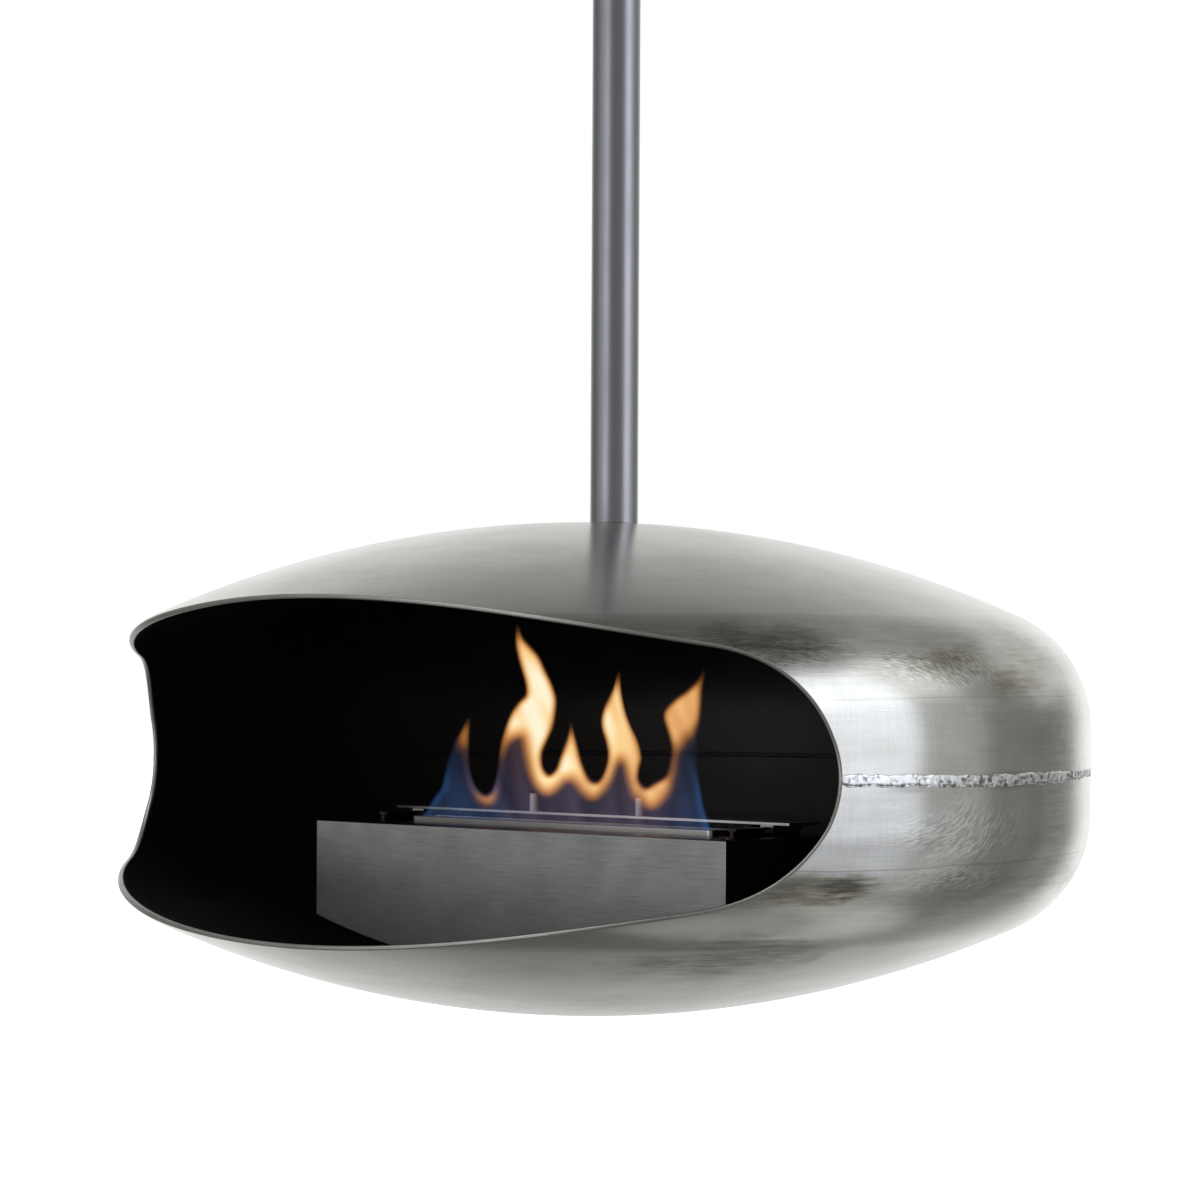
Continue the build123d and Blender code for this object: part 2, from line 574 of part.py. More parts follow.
with BuildPart() as burner_housing:
    block_between(
        (-BURNER_HALF_WIDTH, BURNER_HALF_WIDTH),
        (HOUSING_FRONT, HOUSING_REAR),
        (EQUATOR_Z - HALF_HEIGHT, BURNER_TOP_Z),
    )
    block_between(
        (-BURNER_HALF_WIDTH + HOUSING_WALL, BURNER_HALF_WIDTH - HOUSING_WALL),
        (HOUSING_FRONT + HOUSING_WALL, HOUSING_REAR - HOUSING_WALL),
        (EQUATOR_Z - HALF_HEIGHT, BURNER_TOP_Z),
        mode=Mode.SUBTRACT,
    )
    ledge_z = BURNER_TOP_Z - TOP_PLATE_THICKNESS
    block_between(
        (-BURNER_HALF_WIDTH + HOUSING_WALL, BURNER_HALF_WIDTH - HOUSING_WALL),
        (HOUSING_FRONT + HOUSING_WALL, HOUSING_REAR - HOUSING_WALL),
        (ledge_z - LEDGE_THICKNESS, ledge_z),
    )
    inset = HOUSING_WALL + LEDGE_WIDTH
    block_between(
        (-BURNER_HALF_WIDTH + inset, BURNER_HALF_WIDTH - inset),
        (HOUSING_FRONT + inset, HOUSING_REAR - inset),
        (ledge_z - LEDGE_THICKNESS, ledge_z),
        mode=Mode.SUBTRACT,
    )
    follow_sphere(BOWL_CENTRE, edge_radius, Mode.INTERSECT)
    bolt_holes(HOUSING_FRONT, HOUSING_REAR)
keep(burner_housing, "burner_housing")

with BuildPart() as saddle_brackets:
    tab_front = HOUSING_FRONT + HOUSING_WALL
    tab_rear = HOUSING_REAR - HOUSING_WALL
    bracket_z = (EQUATOR_Z - HALF_HEIGHT, EQUATOR_Z - BRACKET_TOP_DROP)
    for side in (-1, 1):
        tab_x = (side * BRACKET_X - BRACKET_TAB_WIDTH / 2, side * BRACKET_X + BRACKET_TAB_WIDTH / 2)
        web_x = (side * BRACKET_X - BRACKET_WEB / 2, side * BRACKET_X + BRACKET_WEB / 2)
        block_between(web_x, (tab_front, tab_rear), bracket_z)
        block_between(tab_x, (tab_front, tab_front + BRACKET_TAB_THICKNESS), bracket_z)
        block_between(tab_x, (tab_rear - BRACKET_TAB_THICKNESS, tab_rear), bracket_z)
    follow_sphere(BOWL_CENTRE, CROWN_RADIUS - SHELL_WALL, Mode.INTERSECT)
    bolt_holes(tab_front, tab_rear)
keep(saddle_brackets, "saddle_brackets")

front_grip = HOUSING_WALL + BRACKET_TAB_THICKNESS
front_nut_depth = HOUSING_FRONT + front_grip
rear_nut_depth = HOUSING_REAR - front_grip - FIXING_NUT_HEIGHT

with BuildPart() as fascia_studs:
    with BuildSketch(front_plane(HOUSING_FRONT)):
        with Locations(*bolt_places):
            Circle(FIXING_RADIUS)
    extrude(amount=-(front_grip + FIXING_NUT_HEIGHT + FIXING_END))
keep(fascia_studs, "fascia_studs")

with BuildPart() as rear_screws:
    with BuildSketch(front_plane(HOUSING_REAR)):
        with Locations(*bolt_places):
            Circle(FIXING_HEAD_RADIUS)
    extrude(amount=-FIXING_HEAD_HEIGHT, taper=SCREW_HEAD_TAPER)
    with BuildSketch(front_plane(HOUSING_REAR)):
        with Locations(*bolt_places):
            Circle(FIXING_RADIUS)
    extrude(amount=front_grip + FIXING_NUT_HEIGHT + FIXING_END)
keep(rear_screws, "rear_screws")

with BuildPart() as housing_nuts:
    for nut_depth in (front_nut_depth + FIXING_NUT_HEIGHT, rear_nut_depth + FIXING_NUT_HEIGHT):
        with BuildSketch(front_plane(nut_depth)):
            with Locations(*bolt_places):
                RegularPolygon(radius=FIXING_NUT_FLATS / 2, side_count=6, major_radius=False)
                Circle(FIXING_RADIUS, mode=Mode.SUBTRACT)
        extrude(amount=FIXING_NUT_HEIGHT)
keep(housing_nuts, "housing_nuts")

# --- Burner insert --------------------------------------------------------------------------

plate_inset = HOUSING_WALL + TOP_PLATE_GAP
slot_middle = (SLOT_FRONT + SLOT_REAR) / 2
slot_width = SLOT_REAR - SLOT_FRONT


def slot_plane(height):
    """A level plane over the middle of the burner slot, above the top plate's face."""
    return Plane(origin=(0, SHELL_Y + slot_middle, BURNER_TOP_Z + height))


def slot_outline(margin):
    """The slot's rounded outline, `margin` wider on every side."""
    RectangleRounded(
        2 * (SLOT_HALF_LENGTH + margin), slot_width + 2 * margin, SLOT_CORNER + margin
    )


with BuildPart() as burner_top:
    block_between(
        (-BURNER_HALF_WIDTH + plate_inset, BURNER_HALF_WIDTH - plate_inset),
        (HOUSING_FRONT + plate_inset, HOUSING_REAR - plate_inset),
        (BURNER_TOP_Z - TOP_PLATE_THICKNESS, BURNER_TOP_Z),
    )
    with BuildSketch(slot_plane(-TOP_PLATE_THICKNESS)):
        slot_outline(RIM_WALL)
    extrude(amount=TOP_PLATE_THICKNESS, mode=Mode.SUBTRACT)
keep(burner_top, "burner_top")

with BuildPart() as slot_rim:
    with BuildSketch(slot_plane(-RIM_DROP)):
        slot_outline(RIM_WALL)
    extrude(amount=RIM_DROP + RIM_RISE)
    with BuildSketch(slot_plane(-RIM_DROP)):
        slot_outline(0)
    extrude(amount=RIM_DROP + RIM_RISE, mode=Mode.SUBTRACT)
keep(slot_rim, "slot_rim")

with BuildPart() as burner_tank:
    tank_top = BURNER_TOP_Z - TOP_PLATE_THICKNESS
    block_between(
        (-TANK_HALF_WIDTH, TANK_HALF_WIDTH), (TANK_FRONT, TANK_REAR), (tank_top - TANK_DEPTH, tank_top)
    )
    block_between(
        (-TANK_HALF_WIDTH + TANK_WALL, TANK_HALF_WIDTH - TANK_WALL),
        (TANK_FRONT + TANK_WALL, TANK_REAR - TANK_WALL),
        (tank_top - TANK_DEPTH + TANK_WALL, tank_top),
        mode=Mode.SUBTRACT,
    )
    fillet(burner_tank.edges().filter_by(Axis.Z), TANK_WALL / 2)
keep(burner_tank, "burner_tank")

wick_top = -TOP_PLATE_THICKNESS - RIM_DROP
wick_bottom = wick_top - SCREEN_THICKNESS - WICK_HEIGHT

with BuildPart() as wick_block:
    with BuildSketch(slot_plane(wick_bottom)):
        RectangleRounded(WICK_LENGTH, WICK_DEPTH, SLOT_CORNER)
    extrude(amount=WICK_HEIGHT)
keep(wick_block, "wick_block")

with BuildPart() as wick_screen:
    with BuildSketch(slot_plane(wick_top - SCREEN_THICKNESS)):
        RectangleRounded(WICK_LENGTH, WICK_DEPTH, SLOT_CORNER)
        with GridLocations(SCREEN_HOLE_PITCH, SCREEN_HOLE_PITCH, SCREEN_COLUMNS, SCREEN_ROWS):
            Circle(SCREEN_HOLE_RADIUS, mode=Mode.SUBTRACT)
    extrude(amount=SCREEN_THICKNESS)
keep(wick_screen, "wick_screen")

with BuildPart() as wick_cradle:
    cradle_floor = tank_top - TANK_DEPTH + TANK_WALL
    cradle_x = (-WICK_LENGTH / 2, WICK_LENGTH / 2)
    cradle_low = BURNER_TOP_Z + wick_bottom
    near = slot_middle - WICK_DEPTH / 2
    far = slot_middle + WICK_DEPTH / 2
    block_between(cradle_x, (near - CRADLE_WALL, far + CRADLE_WALL), (cradle_low - CRADLE_WALL, cradle_low))
    for wall_near in (near - CRADLE_WALL, far):
        block_between(cradle_x, (wall_near, wall_near + CRADLE_WALL), (cradle_low, BURNER_TOP_Z + wick_top))
    for foot_x in (-CRADLE_FOOT_X, CRADLE_FOOT_X):
        block_between(
            (foot_x - CRADLE_FOOT_LENGTH / 2, foot_x + CRADLE_FOOT_LENGTH / 2),
            (near, far),
            (cradle_floor, cradle_low - CRADLE_WALL),
        )
keep(wick_cradle, "wick_cradle")

# --- Damper ---------------------------------------------------------------------------------

with BuildPart() as guide_rails:
    for side in (-1, 1):
        middle_x = side * RAIL_X
        block_between(
            (middle_x - RAIL_STEM_WIDTH / 2, middle_x + RAIL_STEM_WIDTH / 2),
            (RAIL_FRONT, RAIL_REAR),
            (BURNER_TOP_Z, BURNER_TOP_Z + RAIL_HEIGHT),
        )
        block_between(
            (middle_x - RAIL_HEAD_WIDTH / 2, middle_x + RAIL_HEAD_WIDTH / 2),
            (RAIL_FRONT, RAIL_REAR),
            (BURNER_TOP_Z + RAIL_HEIGHT - RAIL_HEAD_HEIGHT, BURNER_TOP_Z + RAIL_HEIGHT),
        )
keep(guide_rails, "guide_rails")

damper_low = BURNER_TOP_Z + DAMPER_UNDERSIDE
damper_rear = DAMPER_FRONT + DAMPER_DEPTH
damper_middle = (DAMPER_FRONT + damper_rear) / 2

with BuildPart() as damper_shoes:
    for side in (-1, 1):
        middle_x = side * RAIL_X
        shoe_y = (damper_middle - SHOE_LENGTH / 2, damper_middle + SHOE_LENGTH / 2)
        head_half = RAIL_HEAD_WIDTH / 2 + SHOE_CLEARANCE
        stem_half = RAIL_STEM_WIDTH / 2 + SHOE_CLEARANCE
        head_low = BURNER_TOP_Z + RAIL_HEIGHT - RAIL_HEAD_HEIGHT - SHOE_CLEARANCE
        block_between(
            (middle_x - SHOE_WIDTH / 2, middle_x + SHOE_WIDTH / 2),
            shoe_y,
            (BURNER_TOP_Z + SHOE_UNDERSIDE, damper_low),
        )
        block_between(
            (middle_x - head_half, middle_x + head_half),
            shoe_y,
            (head_low, BURNER_TOP_Z + RAIL_HEIGHT + SHOE_CLEARANCE),
            mode=Mode.SUBTRACT,
        )
        block_between(
            (middle_x - stem_half, middle_x + stem_half),
            shoe_y,
            (BURNER_TOP_Z + SHOE_UNDERSIDE, head_low),
            mode=Mode.SUBTRACT,
        )
keep(damper_shoes, "damper_shoes")

with BuildPart() as damper_seal:
    block_between(
        (-SEAL_HALF_WIDTH, SEAL_HALF_WIDTH),
        (DAMPER_FRONT + SEAL_INSET, damper_rear - SEAL_INSET),
        (BURNER_TOP_Z + RIM_RISE + SEAL_GAP, damper_low),
    )
keep(damper_seal, "damper_seal")

with BuildPart() as damper_plate:
    block_between(
        (-DAMPER_HALF_WIDTH, DAMPER_HALF_WIDTH),
        (DAMPER_FRONT, damper_rear),
        (damper_low, damper_low + DAMPER_THICKNESS),
    )
    fillet(damper_plate.edges().filter_by(Axis.Z), DAMPER_CORNER)
keep(damper_plate, "damper_plate")

with BuildPart() as damper_posts:
    posts_plane = Plane(
        origin=(0, SHELL_Y + DAMPER_FRONT + POST_RADIUS, damper_low + DAMPER_THICKNESS)
    )
    with BuildSketch(posts_plane):
        with GridLocations(POST_SPACING, 0, 2, 1):
            Circle(POST_RADIUS)
    extrude(amount=POST_HEIGHT)
    chamfer(damper_posts.edges().group_by(Axis.Z)[-1], POST_RADIUS / 8)
keep(damper_posts, "damper_posts")

print(f"half height {HALF_HEIGHT:.1f}, weld plane z {EQUATOR_Z:.1f}, damper travel {DAMPER_TRAVEL:.1f}")
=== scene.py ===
"""Finished surfaces, flames and studio of a hanging ethanol fireplace, over its packed construction.

Everything is in metres in the construction's own frame: +Z up, -Y is the front, and the origin
is the middle of the ceiling plate's upper face, on the pole's axis.
"""

import logging
import math
from dataclasses import dataclass, field
from enum import Enum, IntEnum
from functools import partial
from typing import Any, Callable

import bmesh
import bpy
import numpy as np
from mathutils import Matrix, Vector, noise


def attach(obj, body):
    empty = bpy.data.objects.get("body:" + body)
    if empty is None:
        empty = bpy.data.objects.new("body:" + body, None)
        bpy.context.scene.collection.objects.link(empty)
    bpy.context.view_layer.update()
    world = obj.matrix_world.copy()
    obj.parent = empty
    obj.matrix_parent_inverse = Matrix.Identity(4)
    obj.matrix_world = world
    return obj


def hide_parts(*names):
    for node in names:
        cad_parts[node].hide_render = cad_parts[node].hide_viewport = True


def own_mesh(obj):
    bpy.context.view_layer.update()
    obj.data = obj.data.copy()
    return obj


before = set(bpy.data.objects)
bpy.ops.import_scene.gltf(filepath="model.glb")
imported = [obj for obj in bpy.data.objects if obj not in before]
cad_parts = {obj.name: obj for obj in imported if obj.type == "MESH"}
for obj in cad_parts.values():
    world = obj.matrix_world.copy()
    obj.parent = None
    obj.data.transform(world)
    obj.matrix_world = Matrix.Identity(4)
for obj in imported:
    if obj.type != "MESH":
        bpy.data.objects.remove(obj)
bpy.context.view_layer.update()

log = logging.getLogger("fireplace")

MM = 0.001
SHELL_CENTRE = np.array((0.0, -0.035, -1.295436))  # shell axis at the height of the weld
SHELL_RADIUS = 0.500
EASED = {"interpolation_type": "SMOOTHSTEP"}  # lets a range of values begin and end softly


# --- Shared tools -----------------------------------------------------------------------------


def linear(hex_colour: str) -> tuple[float, float, float, float]:
    """Turn an sRGB hex colour into linear light.

    Args:
        hex_colour: The colour as "#rrggbb".

    Returns:
        Red, green, blue and an alpha of one.
    """
    channels = [int(hex_colour[i : i + 2], 16) / 255 for i in (1, 3, 5)]
    red, green, blue = (c / 12.92 if c <= 0.04045 else ((c + 0.055) / 1.055) ** 2.4 for c in channels)
    return red, green, blue, 1.0


def put(tree: bpy.types.NodeTree, kind: str, *values: Any, **settings: Any) -> bpy.types.Node:
    """Add one node with its settings and links.

    Args:
        tree: The node tree that gets the node.
        kind: Blender's name for the node after "ShaderNode"; a sum's name follows it after a dot.
        values: What its inputs get, in their order, or dicts of them by name or number. A node
            stands for its first output.
        settings: Properties of the node; `stops` fills a colour ramp, as (place, hex or grey) pairs.

    Returns:
        The new node.
    """
    kind, _, operation = kind.partition(".")
    node = tree.nodes.new("ShaderNode" + kind)
    if operation:
        node.operation = operation
    stops = settings.pop("stops", ())
    for name, value in settings.items():
        setattr(node, name, value)
    for number, (place, tone) in enumerate(stops):
        elements = node.color_ramp.elements
        element = elements[number] if number < len(elements) else elements.new(1.0)
        element.position = place
        element.color = linear(tone) if isinstance(tone, str) else (tone, tone, tone, 1.0)
    inputs = {}
    for place, value in enumerate(values):
        inputs.update(value if isinstance(value, dict) else {place: value})
    for name, value in inputs.items():
        source = value.outputs[0] if isinstance(value, bpy.types.Node) else value
        if isinstance(source, bpy.types.NodeSocket):
            tree.links.new(source, node.inputs[name])
        else:
            node.inputs[name].default_value = source
    return node


def piece_from(name: str, points: Any, faces: Any, finishes: list["Finish"], body: str,
               nodes: tuple[str, ...] = ()) -> bpy.types.Object:
    """Make one finished piece and let it ride on its body.

    Args:
        name: Name of the piece.
        points: Corner points in metres, in the construction's frame.
        faces: Corner numbers of each face.
        finishes: Finishes in the order of the faces' material numbers.
        body: The body it moves with.
        nodes: Construction nodes that it stands for.

    Returns:
        The new object.
    """
    mesh = bpy.data.meshes.new(name)
    mesh.from_pydata([tuple(map(float, p)) for p in points], [], [tuple(map(int, f)) for f in faces])
    mesh.validate()
    mesh.shade_smooth()
    for finish in finishes:
        mesh.materials.append(finish.material())
    piece = bpy.data.objects.new(name, mesh)
    bpy.context.scene.collection.objects.link(piece)
    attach(piece, body)
    if nodes:
        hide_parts(*nodes)
    log.info("%s: %d faces on %s", name, len(mesh.polygons), body)
    return piece


def soften(piece: bpy.types.Object, width: float, angle: float = 30.0) -> None:
    """Round the edges of a piece, so that they catch the light.

    Args:
        piece: The piece.
        width: Width of the rounding in metres.
        angle: Edges sharper than this many degrees are rounded.
    """
    piece.data.set_sharp_from_angle(angle=math.radians(angle))
    rounding = piece.modifiers.new("eased_edges", "BEVEL")
    rounding.width = width
    rounding.segments = 2
    rounding.limit_method = "ANGLE"
    rounding.angle_limit = math.radians(angle)
    rounding.harden_normals = True


def between(here: int, there: int, ring: int) -> list[tuple[int, ...]]:
    """Close the gap between two rings of points.

    Args:
        here: Number of the first point of one ring.
        there: The same of the other.
        ring: Points in each.

    Returns:
        The faces.
    """
    return [(here + k, there + k, there + (k + 1) % ring, here + (k + 1) % ring) for k in range(ring)]


def skin_of(rings: int, ring: int, closed: bool = False) -> list[tuple[int, ...]]:
    """Close the gaps between rings of points that follow one another.

    Args:
        rings: Number of rings.
        ring: Points in each.
        closed: Whether the last ring joins the first.

    Returns:
        The faces.
    """
    pairs = [(row * ring, (row + 1) % rings * ring) for row in range(rings if closed else rings - 1)]
    return [face for here, there in pairs for face in between(here, there, ring)]


def rod_of(rings: int, ring: int) -> list[tuple[int, ...]]:
    """Close rings of points that follow one another to a rod with two ends.

    Args:
        rings: Number of rings.
        ring: Points in each.

    Returns:
        The faces.
    """
    last = (rings - 1) * ring
    return skin_of(rings, ring) + [tuple(range(ring)), tuple(range(last, last + ring))[::-1]]


def reversed_faces(faces: list[tuple[int, ...]]) -> list[tuple[int, ...]]:
    """Let faces look the other way."""
    return [face[:1] + face[:0:-1] for face in faces]


def unit(rows: np.ndarray) -> np.ndarray:
    """Bring each row to a length of one."""
    return rows / np.linalg.norm(rows, axis=1)[:, None]


def lathe(profile: list[tuple[float, float]], turns: int) -> tuple[np.ndarray, list[tuple[int, ...]]]:
    """Turn a closed profile about the pole's axis.

    Args:
        profile: Corner points as (radius, height) in metres.
        turns: Corners round the axis.

    Returns:
        Points and faces.
    """
    angles = np.linspace(0, 2 * math.pi, turns, endpoint=False)
    points = np.array([(r * math.cos(a), r * math.sin(a), z) for a in angles for r, z in profile])
    return points, skin_of(turns, len(profile), closed=True)


def slab(outline: list[tuple[float, float]], low: float, high: float,
         place: Callable[[float, float, float], tuple]) -> tuple[list[tuple], list[tuple[int, ...]]]:
    """Stretch a closed outline between two levels.

    Args:
        outline: Corner points, counterclockwise.
        low: Level of the first side.
        high: Level of the other side.
        place: Turns (u, v, level) into a point of the frame.

    Returns:
        Points and faces.
    """
    count = len(outline)
    points = [place(u, v, level) for level in (low, high) for u, v in outline]
    faces = [tuple(range(count))[::-1], tuple(range(count, 2 * count))]
    return points, faces + reversed_faces(between(0, count, count))


def rounded_outline(half_x: float, half_y: float, corner: float) -> list[tuple[float, float]]:
    """Follow a rounded rectangle, counterclockwise.

    Args:
        half_x: Half its length.
        half_y: Half its width.
        corner: Radius of its corners.

    Returns:
        The points.
    """
    steps = 6
    points = []
    for quarter, (sx, sy) in enumerate(((1, 1), (-1, 1), (-1, -1), (1, -1))):
        for step in range(steps + 1):
            angle = math.pi / 2 * (quarter + step / steps)
            points.append((sx * (half_x - corner) + corner * math.cos(angle),
                           sy * (half_y - corner) + corner * math.sin(angle)))
    return points


def ease(value: Any, low: float, high: float) -> Any:
    """Step smoothly from zero to one.

    Args:
        value: Number or numbers.
        low: Where the step begins.
        high: Where it ends.

    Returns:
        Zero up to low, one from high.
    """
    t = np.clip((value - low) / (high - low), 0, 1)
    return t * t * (3 - 2 * t)


def lump(x: float, y: float, z: float) -> float:
    """Smooth noise at one point, from about minus one to one."""
    return noise.noise(Vector((x, y, z)))


# --- Finishes ---------------------------------------------------------------------------------


@dataclass(frozen=True)
class Finish:
    """A surface: what it is made of and how it was made."""

    name: str

    def material(self) -> bpy.types.Material:
        """Find the finish's material, or make it on its first use.

        Returns:
            The material.
        """
        made = bpy.data.materials.get(self.name)
        if made is None:
            made = bpy.data.materials.new(self.name)
            made.use_nodes = True
            made.node_tree.nodes.clear()
            put(made.node_tree, "OutputMaterial", self.shade(made.node_tree))
        return made

    def shade(self, tree: bpy.types.NodeTree) -> bpy.types.Node:
        """Build the nodes in the tree and return the last one, which is the surface."""
        raise NotImplementedError


@dataclass(frozen=True)
class Stain:
    """One place on the shell where brown patina stayed under the wax."""

    turn: float  # degrees round the axis, from the front toward the right end
    level: float  # metres above the weld
    wide: float  # half its width along the rim, in metres
    tall: float  # half its height, in metres
    force: float  # how dark it is


@dataclass(frozen=True)
class Sheaf(Stain):
    """One place where the grinding disc bit into the shell and left bent scratches."""

    lean: float  # degrees that the scratches climb
    bend: float  # how much they curve, per metre


@dataclass(frozen=True)
class GroundSteel(Finish):
    """Mild steel plate, pressed, ground by hand with a flap disc, patinated and waxed.

    Pressing and planishing leave fine rings about the shell's axis, so reflections smear up and
    down. The disc leaves sheaves of short bent scratches, most of them where the ends curve in,
    and there olive and brown patina stays in the grain under the wax.
    """

    bright: str = "#cfd0ca"
    patina: str = "#9a978a"
    smoke: str = "#67645a"
    roughness: float = 0.24
    ring_mm: float = 1.3  # drawn coarser than the real 0.3 mm grit lines, which are too fine to show
    scratch_mm: float = 1.25  # likewise
    scratch_length_mm: float = 9.0
    line_length_mm: float = 60.0
    edge_level: float = 0.0765  # where the disc was stopped, a thin dark line round both ends
    bowl_belt: float = 0.098  # heights of the two belts of patina from the weld
    dome_belt: float = 0.120
    sheaves: tuple[Sheaf, ...] = (
        Sheaf(86.0, 0.104, 0.120, 0.030, 1.0, -31.0, 4.3),
        Sheaf(63.0, 0.118, 0.110, 0.022, 0.8, -7.0, 1.0),
        Sheaf(87.0, -0.048, 0.120, 0.046, 0.8, 32.0, -3.5),
        Sheaf(88.0, -0.090, 0.120, 0.020, 1.0, 25.0, -3.0),
        Sheaf(128.0, 0.104, 0.150, 0.034, 1.0, 28.0, -3.8),
        Sheaf(146.0, -0.060, 0.130, 0.042, 0.8, -32.0, 4.0),
        Sheaf(-84.0, -0.094, 0.140, 0.028, 1.0, -27.0, -3.6),
        Sheaf(-96.0, 0.106, 0.130, 0.034, 1.0, 30.0, -4.0),
        Sheaf(-138.0, -0.054, 0.140, 0.044, 0.8, 31.0, 3.4),
        Sheaf(-152.0, 0.112, 0.110, 0.030, 1.0, -25.0, 3.2))
    stains: tuple[Stain, ...] = (
        Stain(64.0, 0.124, 0.150, 0.024, 0.44),
        Stain(88.0, 0.112, 0.100, 0.024, 0.26),
        Stain(98.0, 0.090, 0.080, 0.026, 0.24),
        Stain(66.0, -0.096, 0.090, 0.020, 0.42),
        Stain(72.0, -0.093, 0.046, 0.016, 1.0),
        Stain(60.0, -0.158, 0.150, 0.030, 0.34),
        Stain(106.0, 0.0, 0.060, 0.110, 0.14),
        Stain(150.0, 0.118, 0.200, 0.024, 0.40),
        Stain(-90.0, 0.116, 0.200, 0.026, 0.42),
        Stain(-110.0, -0.098, 0.220, 0.024, 0.42),
        Stain(-60.0, 0.0, 0.090, 0.110, 0.24),
        Stain(160.0, -0.096, 0.180, 0.022, 0.36))

    def shade(self, tree: bpy.types.NodeTree) -> bpy.types.Node:
        """Build the grain, the patina, the colour and the relief.

        Args:
            tree: The material's node tree.

        Returns:
            The surface.
        """
        add = partial(put, tree)
        local = add("VectorMath.ADD", add("TexCoord").outputs["Object"], tuple(-SHELL_CENTRE))
        side, depth, height = add("SeparateXYZ", local).outputs
        flat = add("CombineXYZ", side, depth)
        out = add("VectorMath.LENGTH", flat).outputs["Value"]
        round_axis = add("VectorMath.NORMALIZE", flat)
        turn = add("Math.ARCTAN2", side, add("Math.MULTIPLY", depth, -1.0))
        level = add("Math.ABSOLUTE", height)
        # Even noises over the shell, each with its own place in the fourth dimension
        solid = {"noise_dimensions": "4D"}
        ragged, patchy, smudged, wavy = (
            add("TexNoise", {"Vector": local, "W": seed, "Scale": scale, "Detail": detail}, **solid)
            for seed, scale, detail in (
                (5.0, 24.0, 3.0), (21.0, 4.0, 2.0), (17.0, 14.0, 2.0), (13.0, 7.0, 1.0)))

        def drawn(length_mm: float, width_mm: float, bend: float, seed: float, detail: float
                  ) -> bpy.types.Node:
            """Draw grain whose lines run round the axis.

            Args:
                length_mm: Length of a line.
                width_mm: Width of a line.
                bend: How far the lines wander across their run, in metres.
                seed: Place in the noise that makes the wander, so that two grains differ.
                detail: Finer layers of the noise.

            Returns:
                The grain.
            """
            wander = add("TexNoise", {"Vector": local, "W": seed, "Scale": 5.0, "Detail": 0.0}, **solid)
            wander = add("Math.MULTIPLY_ADD", wander, bend, -bend / 2)
            around = add("VectorMath.SCALE", round_axis, {"Scale": SHELL_RADIUS / MM / length_mm})
            up = add("Math.MULTIPLY", add("Math.ADD", height, wander), 1 / MM / width_mm)
            aside = add("Math.MULTIPLY", add("Math.SUBTRACT", out, wander), 1 / MM / width_mm)
            spot = add("VectorMath.ADD", around, add("CombineXYZ", 0.0, 0.0, up))
            return add("TexNoise", {"Vector": spot, "W": aside, "Scale": 1.0, "Detail": detail,
                                    "Roughness": 0.6}, **solid)

        def blot(stain: Stain) -> tuple[bpy.types.Node, bpy.types.Node, bpy.types.Node]:
            """Mask a ragged patch of the shell.

            Args:
                stain: Its place and size.

            Returns:
                Way along the rim and height from its middle, and its mask.
            """
            along = add("Math.MULTIPLY", add("Math.SUBTRACT", turn, math.radians(stain.turn)), SHELL_RADIUS)
            above = add("Math.SUBTRACT", height, stain.level)
            squares = [add("Math.POWER", add("Math.ABSOLUTE", add("Math.DIVIDE", way, size)), 2.0)
                       for way, size in ((along, stain.wide), (above, stain.tall))]
            far = add("Math.MULTIPLY_ADD", ragged, 1.1, add("Math.SQRT", add("Math.ADD", *squares)))
            return along, above, add("MapRange", far, 0.75, 1.65, stain.force, 0.0, **EASED)

        rings = drawn(self.line_length_mm, self.ring_mm, 0.002, 1.0, 2.0)
        streaks = drawn(120.0, 5.0, 0.01, 4.0, 4.0)
        feathers = drawn(26.0, 2.2, 0.006, 8.0, 3.0)
        uprights = drawn(2.0, 36.0, 0.0, 6.0, 2.0)
        grain, bitten = rings, 0.0
        for number, sheaf in enumerate(self.sheaves):
            along, above, mask = blot(sheaf)
            c, s = math.cos(math.radians(sheaf.lean)), math.sin(math.radians(sheaf.lean))
            run = add("Math.MULTIPLY_ADD", along, c, add("Math.MULTIPLY", above, s))
            across = add("Math.MULTIPLY_ADD", above, c, add("Math.MULTIPLY", along, -s))
            across = add("Math.MULTIPLY_ADD", add("Math.MULTIPLY", run, run), sheaf.bend, across)
            spot = add("CombineXYZ", add("Math.MULTIPLY", run, 1 / MM / self.scratch_length_mm),
                       add("Math.MULTIPLY", across, 1 / MM / self.scratch_mm), 3.7 * number)
            lines = add("TexNoise", {"Vector": spot, "Scale": 1.0, "Detail": 0.0})
            grain = add("Mix", {0: mask, 2: grain, 3: add("MapRange", lines, 0.34, 0.66, **EASED)})
            bitten = add("Math.MAXIMUM", bitten, mask)

